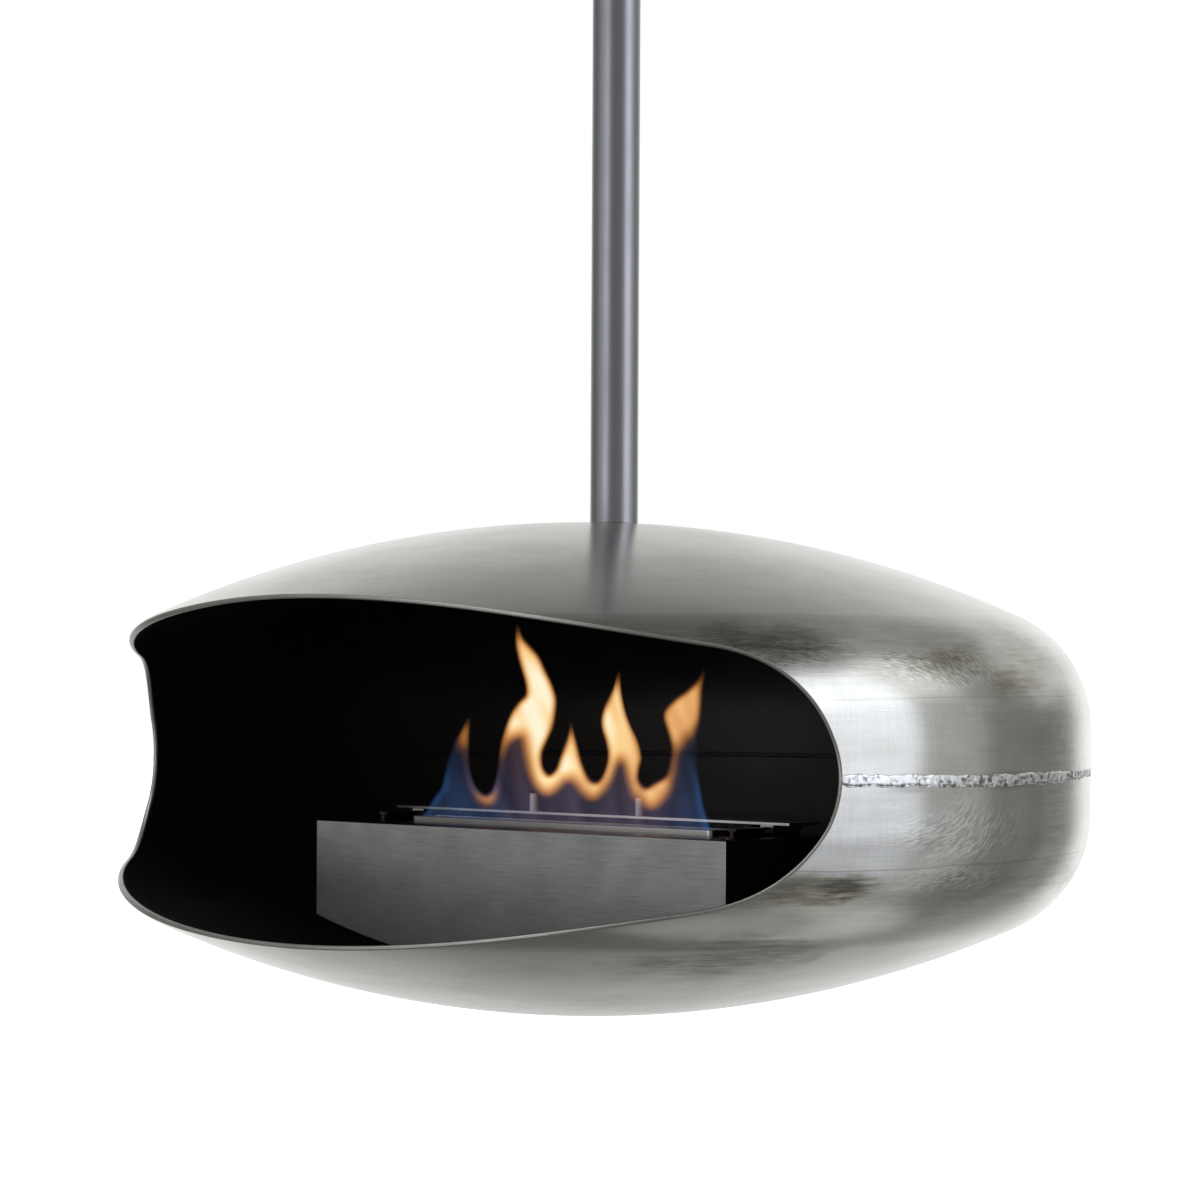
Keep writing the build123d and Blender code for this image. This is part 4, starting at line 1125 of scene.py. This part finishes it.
            # It tapers at both ends and was ground nearly flush over a stretch
            fade = math.sqrt(max(min(1.0, (s + 0.002) / 0.010, (length - s) / 0.008), 0.02))
            flush = min(max((s - 0.29) / 0.10, 0.0), 1.0) * min(max((0.74 - s) / 0.15, 0.0), 1.0)
            wander = 0.0010 * lump(s * 30, 3.1, 0.0) + self.bead_tip_rise * math.exp(-((s / 0.13) ** 2))
            drop = s / self.drop_pitch + 0.9 * lump(s * 40, 0.4, 6.0)
            past = s - self.even_length
            smooth = 1.0 if past < 0 else max(1 - past / 0.02, 0.35 + 0.35 * lump(s * 9, 2.0, 5.0))
            crevice = min(1.0, smooth + 0.2) * (0.8 + 0.5 * lump(s * 70, 6.0, 3.0))
            for k in range(self.bead_parts + 1):
                t = -1 + 2 * k / self.bead_parts
                rim = 0.92 + 0.36 * lump(s * 70, 7.7 if t > 0 else -7.7, 2.0)
                wide = self.bead_width / 2 * min(rim, 1.0) * (0.45 + 0.55 * fade) * (1 - 0.3 * flush)
                lobe = abs(math.sin(math.pi * (drop - 0.30 * t * t + 0.22 * lump(s * 60, t, 3.0))))
                rough = lump(s * 120, t * 1.8, 1.0)
                groove = crevice * math.exp(-(((t + 0.66 + 0.12 * lump(s * 90, 1.0, 7.0)) / 0.13) ** 2))
                crown = max(1 - abs(t) ** 3, 0.0) ** 0.6
                relief = 0.66 + (1 - smooth) * (0.26 * lobe**0.7 - 0.16) + 0.05 * rough - 0.45 * groove
                height = self.bead_height * fade * crown * min(1.0, relief) * (1 - 0.75 * flush)
                radius = self.form.radius + max(height, -0.0002 * crown) - (0.0004 if abs(t) == 1 else 0.0)
                points.append((radius * math.cos(angle), radius * math.sin(angle), wander + t * wide))
                # Darkening for the weld's finish: grey scale between the drops, and painted shade in the
                # crevice along the lower edge
                scale_and_shade = groove + (1 - smooth) * (0.32 + 0.4 * (0.7 - lobe) - 0.8 * rough)
                scale_and_shade_values.append(min(1.0, max(0.0, scale_and_shade)))
            inner = self.form.radius - self.overlap
            points += [(inner * math.cos(angle), inner * math.sin(angle), z) for z in (0.004, -0.004)]
            scale_and_shade_values += [0.0, 0.0]
        faces = rod_of(rows + 1, self.bead_parts + 3)
        piece = piece_from("seam_bead", np.array(points) + SHELL_CENTRE, faces, [WELD], "hanging_body",
                           ("seam_weld",))
        piece.data.attributes.new("scale_and_shade", "FLOAT", "POINT").data.foreach_set("value", scale_and_shade_values)
        return piece

    def build_root(self) -> bpy.types.Object:
        """Lay the low root run on the inside of the weld, painted over with the shell.

        Returns:
            The finished piece.
        """
        end = self.run_end(0.6)
        inner = self.form.radius - self.wall
        points = []
        for row in range(self.root_rows + 1):
            angle = -end + (math.pi + 2 * end) * row / self.root_rows
            s = angle * inner
            for k in range(self.root_parts + 1):
                t = -1 + 2 * k / self.root_parts
                swell = max(1 - t * t, 0.0) * (1 + 0.5 * lump(s * 90, t, 9.0))
                radius = inner - (self.root_height * swell - 0.0002)
                height = t * (self.root_half + 0.0007 * lump(s * 60, 1.0, 4.0))
                points.append((radius * math.cos(angle), radius * math.sin(angle), height))
            deep = inner + self.overlap
            points.append((deep * math.cos(angle), deep * math.sin(angle), 0.0))
        faces = reversed_faces(rod_of(self.root_rows + 1, self.root_parts + 2))
        return piece_from("seam_root", np.array(points) + SHELL_CENTRE, faces, [PAINT], "hanging_body", ())

    def build(self) -> None:
        """Build every piece of the shell."""
        for half in Half:
            self.build_half(half)
        self.build_bead()
        self.build_root()


# --- Pole and ceiling fitting -----------------------------------------------------------------


@dataclass
class PoleAndCanopy:
    """The pole with its foot cut to the dome, and the cover at the ceiling."""

    radius: float = 0.02415
    bore: float = 0.02125
    top: float = -0.049
    foot_gap: float = 0.0007  # between the tube and the dome
    turns: int = 144
    cover_radius: float = 0.095
    cover_depth: float = 0.080
    cover_wall: float = 0.0015
    cover_corner: float = 0.018
    cover_hole: float = 0.027
    ceiling_gap: float = 0.0005

    def foot(self, x: float, y: float, form: DishedForm) -> float:
        """Find where the tube ends above the dome's crown.

        Args:
            x: Place of one point of the tube.
            y: The same, along the depth.
            form: The shell's form.

        Returns:
            Its height.
        """
        centre = SHELL_CENTRE + (0, 0, form.crown_height)
        rise = math.sqrt(form.crown**2 - (x - centre[0]) ** 2 - (y - centre[1]) ** 2)
        return centre[2] + rise + self.foot_gap

    def build_pole(self, form: DishedForm) -> bpy.types.Object:
        """Make the tube, its lower end scribed to the dome.

        Args:
            form: The shell's form.

        Returns:
            The finished piece.
        """
        points = []
        for turn in range(self.turns):
            angle = math.tau * turn / self.turns
            (x, y), (u, v) = ((r * math.cos(angle), r * math.sin(angle)) for r in (self.radius, self.bore))
            points += [(x, y, self.foot(x, y, form)), (x, y, self.top), (u, v, self.top),
                       (u, v, self.foot(u, v, form))]
        piece = piece_from("pole", points, skin_of(self.turns, 4, closed=True), [POLE], "hanging_body",
                           ("pole_tube",))
        soften(piece, 0.4 * MM)
        return piece

    def corner(self, radius: float, low: float, high: float) -> list[tuple[float, float]]:
        """Follow the cover's rolled corner.

        Args:
            radius: Radius of the skin's arc.
            low: Angle below the horizon at which it begins.
            high: The same at its end.

        Returns:
            Its points as (radius, height).
        """
        r, z = self.cover_radius - self.cover_corner, -self.cover_depth + self.cover_corner
        return [(r + radius * math.cos(a), z - radius * math.sin(a)) for a in np.linspace(low, high, 14)]

    def build_cover(self) -> bpy.types.Object:
        """Turn the cover's profile: a shallow pot with a rolled corner and a hole for the pole.

        Returns:
            The finished piece.
        """
        wall, quarter = self.cover_wall, math.pi / 2
        profile = [(self.cover_hole, -self.cover_depth), *self.corner(self.cover_corner, quarter, 0),
                   (self.cover_radius, -self.ceiling_gap), (self.cover_radius - wall, -self.ceiling_gap),
                   *self.corner(self.cover_corner - wall, 0, quarter),
                   (self.cover_hole, -self.cover_depth + wall)]
        points, faces = lathe(profile, self.turns)
        piece = piece_from("ceiling_cover", points, reversed_faces(faces), [COVER], "ceiling_mount",
                           ("canopy",))
        soften(piece, 0.3 * MM, angle=40)
        return piece

    def build(self, form: DishedForm) -> None:
        """Build the pole and the cover."""
        self.build_pole(form)
        self.build_cover()


# --- Burner -----------------------------------------------------------------------------------


@dataclass
class Burner:
    """Fascia, slot rim and damper of the burner; depths are from the shell's axis."""

    half_width: float = 0.281
    top_drop: float = 0.060
    fascia_front: float = -0.111
    fascia_thickness: float = 0.003
    edge_radius: float = 0.998
    edge_steps: int = 48
    slot_half: float = 0.205
    slot_front: float = -0.046
    slot_rear: float = -0.012
    slot_corner: float = 0.0045
    rim_wall: float = 0.0025
    rim_rise: float = 0.0055
    rim_drop: float = 0.006
    damper_half: float = 0.271
    damper_front: float = -0.008
    damper_depth: float = 0.046
    damper_thickness: float = 0.003
    damper_underside: float = 0.0105
    damper_corner: float = 0.002
    post_spacing: float = 0.146
    post_inset: float = 0.004  # from the plate's front edge to the posts' axis
    post_radius: float = 0.0044
    post_height: float = 0.018
    post_chamfer: tuple[float, float] = (0.0005, 0.0006)  # across and down
    post_core: float = 0.0006  # a turned profile starts beside the axis; this hole is too small to see
    post_turns: int = 40

    @property
    def top(self) -> float:
        """Height of the burner's top plate in the frame."""
        return SHELL_CENTRE[2] - self.top_drop

    def build_fascia(self, form: DishedForm) -> bpy.types.Object:
        """Make the front plate, its lower edge parallel to the bowl.

        Args:
            form: The shell's form.

        Returns:
            The finished piece.
        """
        centre_z = SHELL_CENTRE[2] - form.crown_height
        places = [self.half_width * (2 * step / self.edge_steps - 1) for step in range(self.edge_steps + 1)]
        outline = [(x, centre_z - math.sqrt(self.edge_radius**2 - x**2 - self.fascia_front**2))
                   for x in places]
        outline += [(self.half_width, self.top), (-self.half_width, self.top)]
        front = SHELL_CENTRE[1] + self.fascia_front
        points, faces = slab(outline, front + self.fascia_thickness, front, lambda u, v, w: (u, w, v))
        piece = piece_from("fascia", points, faces, [FASCIA], "hanging_body", ("burner_fascia",))
        soften(piece, 0.6 * MM)
        return piece

    def build_rim(self) -> bpy.types.Object:
        """Make the raised rim of the flame slot.

        Returns:
            The finished piece.
        """
        middle = SHELL_CENTRE[1] + (self.slot_front + self.slot_rear) / 2
        half_y = (self.slot_rear - self.slot_front) / 2
        low, high = self.top - self.rim_drop, self.top + self.rim_rise
        inner, outer = (rounded_outline(self.slot_half + more, half_y + more, self.slot_corner + more)
                        for more in (0.0, self.rim_wall))
        points = [(x, y + middle, z) for loop, z in ((outer, low), (outer, high), (inner, high), (inner, low))
                  for x, y in loop]
        faces = reversed_faces(skin_of(4, len(outer), closed=True))
        piece = piece_from("flame_slot_rim", points, faces, [POLISHED], "burner", ("slot_rim",))
        soften(piece, 0.5 * MM)
        return piece

    def build_damper(self) -> bpy.types.Object:
        """Make the damper's plate.

        Returns:
            The finished piece.
        """
        outline = rounded_outline(self.damper_half, self.damper_depth / 2, self.damper_corner)
        middle = SHELL_CENTRE[1] + self.damper_front + self.damper_depth / 2
        low = self.top + self.damper_underside
        points, faces = slab(outline, low, low + self.damper_thickness, lambda u, v, w: (u, v + middle, w))
        piece = piece_from("damper_strip", points, faces, [POLISHED], "damper", ("damper_plate",))
        soften(piece, 0.4 * MM)
        return piece

    def build_posts(self) -> bpy.types.Object:
        """Turn the two posts that slide the damper.

        Returns:
            The finished piece.
        """
        low = self.top + self.damper_underside + self.damper_thickness
        high = low + self.post_height
        across, down = self.post_chamfer
        profile = [(self.post_core, low), (self.post_radius, low), (self.post_radius, high - down),
                   (self.post_radius - across, high), (self.post_core, high)]
        points, faces = lathe(profile, self.post_turns)
        faces = reversed_faces(faces)
        depth = SHELL_CENTRE[1] + self.damper_front + self.post_inset
        pair = np.concatenate([points + (side * self.post_spacing / 2, depth, 0.0) for side in (-1, 1)])
        faces += [tuple(len(points) + i for i in face) for face in faces]
        piece = piece_from("damper_post_pair", pair, faces, [ROD], "damper", ("damper_posts",))
        soften(piece, 0.2 * MM)
        return piece

    def build(self, form: DishedForm) -> None:
        """Build every finished piece of the burner.

        Args:
            form: The shell's form.
        """
        self.build_fascia(form)
        self.build_rim()
        self.build_damper()
        self.build_posts()


# --- Flames -----------------------------------------------------------------------------------


@dataclass
class Flames:
    """One curtain of fire over the slot, drawn in millimetres from the shell's centre."""

    depth: float = -0.029
    pitch: float = 0.0017
    low_corner: tuple[float, float] = (-0.216, -0.062)  # of the field that the fire is drawn in
    high_corner: tuple[float, float] = (0.196, 0.146)
    border: float = 0.003  # how far the skins reach past the crest, where they are clear
    foot_height: float = -0.057
    smothered: float = 0.02
    crest: tuple[tuple[float, float], ...] = (
        (-212, -57), (-203, -44), (-194, -34), (-183, -23), (-176, -6), (-170, 9), (-164, 23), (-157, 36),
        (-147, 48), (-142, 30), (-140, 12), (-138, -5), (-132, -20), (-124, -27), (-115, -29), (-106, -25),
        (-98, -14), (-94, -1), (-93, 14), (-91, 29), (-86, 44), (-78, 57), (-68, 66), (-58, 73), (-57, 84),
        (-60, 97), (-64, 111), (-67, 125), (-66, 143), (-57, 131), (-45, 121), (-35, 111), (-28, 98),
        (-21, 83), (-18, 68), (-21, 53), (-25, 38), (-31, 25), (-35, 14), (-34, 4), (-30, -3), (-24, -6),
        (-18, -1), (-15, 10), (-11, 24), (-7, 36), (-4, 46), (0, 35), (5, 23), (10, 12), (17, 1), (26, -9),
        (34, -12), (40, -9), (44, 1), (45, 13), (41, 26), (36, 38), (36, 49), (42, 60), (51, 71), (60, 82),
        (68, 97), (72, 84), (75, 70), (79, 55), (85, 43), (92, 32), (96, 20), (97, 10), (94, 2), (93, -7),
        (98, -13), (105, -15), (115, -10), (123, -7), (130, -2), (135, 8), (140, 20), (140, 30), (138, 40),
        (135, 50), (136, 59), (142, 66), (151, 73), (161, 80), (171, 89), (179, 99), (180, 82), (181, 65),
        (180, 49), (176, 33), (173, 16), (171, 0), (173, -16), (177, -32), (184, -45), (191, -57))
    seat: tuple[tuple[float, float], ...] = (
        (-164, 24), (-155, 16), (-147, 11), (-141, -4), (-137, -24), (-128, -37), (-116, -41), (-106, -37),
        (-98, -25), (-93, -8), (-88, 8), (-82, 20), (-74, 28), (-66, 31), (-60, 27), (-54, 10), (-47, -9),
        (-39, -21), (-25, -27), (-12, -20), (-2, -12), (9, -15), (21, -25), (35, -30), (47, -23), (54, -10),
        (59, 3), (65, 8), (72, 3), (79, -11), (87, -23), (98, -31), (111, -37), (123, -33), (133, -21),
        (139, -7), (143, 8), (149, 20), (158, 28), (169, 35), (182, 43))
    # How bright the soot is along the slot
    vigour: tuple[tuple[float, float], ...] = (
        (-170, 0.34), (-150, 0.38), (-120, 0.60), (-95, 0.66), (-78, 0.74), (-64, 1.0), (0, 0.96), (40, 0.88),
        (60, 0.80), (75, 0.74), (110, 0.70), (140, 0.66), (180, 0.60))

    @staticmethod
    def smooth(points: tuple[tuple[float, float], ...]) -> np.ndarray:
        """Round a line with a Catmull-Rom curve.

        Args:
            points: Its points in millimetres.

        Returns:
            Five times as many points, in metres.
        """
        p = np.array(points, float) * MM
        p = np.concatenate((p[:1], p, p[-1:]))
        t = np.linspace(0, 1, 5, endpoint=False)[:, None]
        curve = []
        for a, b, c, d in zip(p[:-3], p[1:-2], p[2:-1], p[3:]):
            square, cube = 2 * a - 5 * b + 4 * c - d, 3 * b - a - 3 * c + d
            curve.append(0.5 * (2 * b + (c - a) * t + square * t**2 + cube * t**3))
        return np.concatenate(curve + [p[-1:]])

    @staticmethod
    def depth_in(grid: np.ndarray, line: np.ndarray, loop: np.ndarray) -> np.ndarray:
        """Find how deep points lie in a loop, measured from a line.

        Args:
            grid: The points.
            line: Points of the line.
            loop: Points of the loop, whose last point joins its first.

        Returns:
            Their distances from the line, below zero outside the loop.
        """
        best = np.full(len(grid), 1e9)
        for a, b in zip(line[:-1], line[1:]):
            run = b - a
            share = np.clip(((grid - a) @ run) / max(run @ run, 1e-12), 0, 1)
            best = np.minimum(best, np.linalg.norm(grid - a - share[:, None] * run, axis=1))
        within = np.zeros(len(grid), bool)
        for (ax, az), (bx, bz) in zip(loop, np.roll(loop, -1, axis=0)):
            crosses = (az > grid[:, 1]) != (bz > grid[:, 1])
            with np.errstate(divide="ignore", invalid="ignore"):
                at = ax + (grid[:, 1] - az) * (bx - ax) / (bz - az)
            within ^= crosses & (grid[:, 0] < at)
        return best * np.where(within, 1, -1)

    def light(self, grid: np.ndarray, to_crest: np.ndarray, to_seat: np.ndarray) -> dict[str, np.ndarray]:
        """Work out how bright each part of the fire is.

        Args:
            grid: Points as (x, height).
            to_crest: How deep each lies below the crest.
            to_seat: How deep each lies in the yellow flame, from its seat.

        Returns:
            The light of the soot and of the blue veil, and how near the veil's edge a point lies.
        """
        x, z = grid.T
        foot = ease(to_seat, -0.0095, 0.0145)
        places, levels = np.array(self.vigour).T
        wisps = np.array([lump(u * 70 + v * 25, v * 14, 2.0) for u, v in grid])
        strong = np.interp(x, places * MM, levels) * (1 + 0.30 * wisps) * (1 - 0.35 * ease(z, 0.06, 0.14))
        glow = ease(to_crest, -0.0006, 0.0085) * foot * strong
        # Below the seat a thin brown haze of cooling soot hangs in the blue veil
        across = ease(x, -0.115, -0.06) * (1 - ease(x, 0.10, 0.165))
        haze = ease(to_crest, 0.0, 0.012) * across * (0.8 + 0.6 * wisps)
        veil = ease(to_crest, -0.001, 0.006) * (1 - 0.75 * foot * (to_seat > 0))
        veil *= (0.95 + 0.6 * wisps) * (0.35 + 0.65 * ease(-z, -0.03, 0.05))
        edge = (1 - ease(to_crest, 0.0, 0.010)) * ease(-z, -0.01, 0.03)
        return {"glow": np.maximum(glow, 0.095 * haze), "veil": veil, "edge": edge}

    def build(self) -> bpy.types.Object:
        """Make the curtain of flame, two thin skins that swell where the fire is thick.

        Returns:
            The finished piece.
        """
        crest, seat = self.smooth(self.crest), self.smooth(self.seat)
        xs, zs = (np.arange(low, high, self.pitch) for low, high in zip(self.low_corner, self.high_corner))
        grid = np.stack([axis.ravel() for axis in np.meshgrid(xs, zs)], axis=1)
        x, z = grid.T
        to_crest = self.depth_in(grid, crest, crest)
        # Soot glows between the crest and the seat of the yellow flame
        left, right = (np.argmin(np.linalg.norm(crest - end, axis=1)) for end in (seat[0], seat[-1]))
        to_seat = self.depth_in(grid, seat, np.concatenate((crest[left:right], seat[::-1])))
        swell = 0.0006 + 0.0030 * np.sqrt(np.clip(to_crest, 0, 0.02) / 0.02)
        sway = 0.006 * np.sin(x * 31 + 0.6) * ease(z, -0.06, 0.05) + 0.004 * np.sin(z * 47 + x * 13)
        numbers = np.arange(len(grid)).reshape(len(zs), len(xs))
        quads = np.stack((numbers[:-1, :-1], numbers[:-1, 1:], numbers[1:, 1:], numbers[1:, :-1]), axis=-1)
        quads = quads[(to_crest > -self.border)[quads].all(axis=-1)]
        corners, quads = np.unique(quads, return_inverse=True)
        quads = quads.reshape(-1, 4)
        points = np.concatenate([np.stack((x, self.depth + sway + side * swell, z), axis=1)[corners]
                                 for side in (-1, 1)])
        faces = np.concatenate((quads, quads[:, ::-1] + len(corners)))
        piece = piece_from("flame_curtain", points + SHELL_CENTRE, faces, [FIRE], "burner")
        for label, values in self.light(grid, to_crest, to_seat).items():
            layer = piece.data.attributes.new(label, "FLOAT", "POINT")
            layer.data.foreach_set("value", np.tile(values[corners], 2).astype(np.float32))
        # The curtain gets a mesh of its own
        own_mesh(piece)
        return piece


# --- Studio -----------------------------------------------------------------------------------


@dataclass(frozen=True)
class LightCard:
    """One soft panel of the studio, by its direction from the object, in degrees."""

    name: str
    turn: tuple[float, float]  # from the camera's side, positive to the right
    lift: tuple[float, float]
    light: float
    side_edge: float = 4.0
    end_edge: float = 10.0
    tint: str = "#ffffff"


@dataclass
class Studio:
    """Camera, floor and soft surroundings."""

    camera_turn: float = 43.3
    camera_lift: float = 1.85
    distance: float = 4.0
    lens: float = 119.4
    sensor: float = 36.0
    frame_size: float = 1200.0
    target: tuple[float, float] = (589.0, 767.0)  # where the shell's centre stands in the frame
    roll: float = 0.3
    floor_height: float = -2.6
    floor_half: float = 30.0
    behind: tuple[float, float, float] = (144, 216, 24)  # directions of the backdrop, and its soft border
    # Light by height above the horizon in degrees: of the dim room, and of the backdrop
    room_light: tuple[tuple[float, float], ...] = (
        (-90, 0.15), (-12, 0.15), (0, 0.25), (30, 0.22), (70, 0.16))
    backdrop_light: tuple[tuple[float, float], ...] = (
        (-60, 0.15), (-42, 0.27), (-30, 0.60), (-20, 0.86), (-6, 1.18), (6, 1.08), (20, 0.93), (30, 0.70),
        (40, 0.40), (50, 0.22), (62, 0.16))
    cards: tuple[LightCard, ...] = (
        LightCard("right_panel", (46, 80.5), (15, 47), 2.25, tint="#f2f4ff"),
        LightCard("right_panel_middle", (46, 79.5), (-12, 15), 1.6, tint="#f2f4ff"),
        LightCard("right_panel_foot", (46, 79.5), (-38, -12), 0.86, tint="#f2f4ff"),
        LightCard("right_rear_panel", (79.5, 101), (22, 50), 1.30, 8.0),
        LightCard("right_rear_foot", (79.5, 101), (-46, 22), 0.55, 8.0),
        LightCard("upper_rear_panel", (120, 168), (8, 34), 0.80, 18.0),
        LightCard("right_side", (84, 122), (-46, 10), 0.27, 12.0),
        LightCard("right_rear", (122, 160), (-46, 10), 0.36, 16.0),
        LightCard("upper_right", (84, 160), (10, 60), 0.40, 16.0),
        LightCard("lower_right", (60, 160), (-62, -46), 0.66, 16.0),
        LightCard("under_right", (60, 160), (-88, -62), 0.40, 16.0),
        LightCard("top_front", (-100, -38), (36, 84), 1.35, 14.0, 14.0),
        LightCard("left_panel", (-58, -30), (-20, 16), 1.30, 8.0, tint="#f4f6ff"),
        LightCard("far_left_panel", (-88, -58), (-44, 30), 0.54, 8.0),
        LightCard("left_rear_panel", (-130, -84), (-44, 30), 0.20, 12.0),
    )

    def way(self, turn: float, lift: float) -> Vector:
        """Find a direction from the object.

        Args:
            turn: Degrees from the front, positive to the right.
            lift: Degrees above the horizon.

        Returns:
            The direction, of a length of one.
        """
        a, e = math.radians(turn), math.radians(lift)
        return Vector((math.sin(a) * math.cos(e), -math.cos(a) * math.cos(e), math.sin(e)))

    @staticmethod
    def axes(ahead: Vector, rough_up: Vector) -> Matrix:
        """Square up three axes.

        Args:
            ahead: The way ahead.
            rough_up: A way that is roughly up.

        Returns:
            The way ahead, the way up and their cross product, as columns.
        """
        up = (rough_up - rough_up.dot(ahead) * ahead).normalized()
        return Matrix((ahead, up, ahead.cross(up))).transposed()

    def build_camera(self) -> None:
        """Set up the camera so that the shell's centre falls on its place in the frame."""
        back = self.way(self.camera_turn, self.camera_lift)
        data = bpy.data.cameras.new("camera")
        data.lens, data.sensor_width = self.lens, self.sensor
        data.clip_start, data.clip_end = 0.05, 200.0
        camera = bpy.data.objects.new("camera", data)
        bpy.context.scene.collection.objects.link(camera)
        step = self.sensor / self.frame_size / self.lens
        half = self.frame_size / 2
        seen = Vector(((self.target[0] - half) * step, (half - self.target[1]) * step, -1.0)).normalized()
        lean = math.radians(self.roll)
        own = self.axes(seen, Vector((math.sin(lean), math.cos(lean), 0.0)))
        turn = self.axes(-back, Vector((0, 0, 1))) @ own.transposed()
        camera.matrix_world = Matrix.Translation(Vector(SHELL_CENTRE) + back * self.distance) @ turn.to_4x4()
        bpy.context.scene.camera = camera

    def build_floor(self) -> None:
        """Lay a plain pale floor."""
        mesh = bpy.data.meshes.new("floor")
        half = self.floor_half
        corners = [(-half, -half), (half, -half), (half, half), (-half, half)]
        mesh.from_pydata([(x, y, self.floor_height) for x, y in corners], [], [(0, 1, 2, 3)])
        mesh.materials.append(FLOOR.material())
        floor = bpy.data.objects.new("floor", mesh)
        bpy.context.scene.collection.objects.link(floor)
        floor.visible_glossy = False
        floor.visible_diffuse = False

    def build_surroundings(self) -> None:
        """Light the object with a pale backdrop, soft panels and dim surroundings."""
        world = bpy.data.worlds.new("studio")
        bpy.context.scene.world = world
        world.use_nodes = True
        world.node_tree.nodes.clear()
        add = partial(put, world.node_tree)
        ray = add("TexCoord").outputs["Generated"]
        ahead, aside = (add("VectorMath.DOT_PRODUCT", ray, self.way(self.camera_turn + more, 0.0))
                        .outputs["Value"] for more in (0, 90))
        turn = add("Math.ARCTAN2", aside, ahead)
        lift = add("Math.ARCSINE", add("SeparateXYZ", ray).outputs[2])
        share = add("MapRange", lift, -math.pi / 2, math.pi / 2)
        dim, pale = (add("ValToRGB", share, stops=[((height + 90) / 180, light) for height, light in lights])
                     for lights in (self.room_light, self.backdrop_light))

        def within(angle: bpy.types.Node, low: float, high: float, edge: float) -> bpy.types.Node:
            """Mask the directions between two angles softly.

            Args:
                angle: The direction's turn or lift, in radians.
                low: Where the panel begins, in degrees.
                high: Where it ends.
                edge: Width of its soft border.

            Returns:
                One inside and zero outside.
            """
            away = add("Math.SUBTRACT", angle, math.radians((low + high) / 2))
            away = add("Math.ARCCOSINE", add("Math.COSINE", away))
            begin, end = (math.radians((high - low + more) / 2) for more in (-edge, edge))
            return add("MapRange", away, begin, end, 1.0, 0.0, **EASED)

        total = add("Mix", {0: within(turn, *self.behind), 6: dim, 7: pale}, data_type="RGBA").outputs[2]
        for card in self.cards:
            shine = add("Math.MULTIPLY", within(turn, *card.turn, card.side_edge),
                        within(lift, *card.lift, card.end_edge))
            shine = add("Math.MULTIPLY", shine, card.light)
            light = add("VectorMath.SCALE", linear(card.tint)[:3], {"Scale": shine})
            total = add("VectorMath.MAXIMUM", total, light)
        seen = add("LightPath").outputs["Is Camera Ray"]
        shown = add("Mix", {0: seen, 6: total, 7: (1.0, 1.0, 1.0, 1.0)}, data_type="RGBA").outputs[2]
        add("OutputWorld", add("Background", shown))

    def build(self) -> None:
        """Set the studio up."""
        view = bpy.context.scene.view_settings
        view.view_transform = "Standard"
        view.look = "None"
        self.build_camera()
        self.build_floor()
        self.build_surroundings()
        log.info("studio: camera, floor and %d light cards", len(self.cards))


# --- Construction nodes that are shown as they are ----------------------------------------------

NODE_FINISHES: dict[Finish, tuple[str, ...]] = {
    PAINT: ("burner_housing", "saddle_brackets", "ceiling_plate"),
    TOP: ("burner_top", "guide_rails"),
    POLISHED: ("damper_shoes", "wick_screen"),
    FASCIA: ("burner_tank", "wick_cradle"),
    WOOL: ("wick_block",),
    BRAID: ("damper_seal",),
    BRONZE: ("guide_bush", "bearing_cage"),
    TURNED: ("spindle", "bearing_hub", "pole_plug", "dome_doubler", "saddle_washer"),
    ZINC: ("hub_bolts", "canopy_screws", "cross_bolt", "cross_nut", "dome_nut", "fascia_studs", "rear_screws",
           "housing_nuts"),
    GROUND_BALLS: ("lower_race", "upper_race", "bearing_balls"),
}


def dress_nodes() -> None:
    """Give every construction node that stays in view its finish."""
    for finish, names in NODE_FINISHES.items():
        for name in names:
            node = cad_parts[name]
            if not node.material_slots:
                node.data.materials.append(finish.material())
            for held in node.material_slots:
                held.material = finish.material()
            log.info("%s: %s", name, finish.name)


def main() -> None:
    """Build the fireplace's finished pieces and its studio."""
    logging.basicConfig(level=logging.INFO, format="%(name)s: %(message)s")
    Studio().build()
    shell = FireShell()
    shell.build()
    PoleAndCanopy().build(shell.form)
    Burner().build(shell.form)
    Flames().build()
    dress_nodes()


if __name__ == "__main__":
    main()
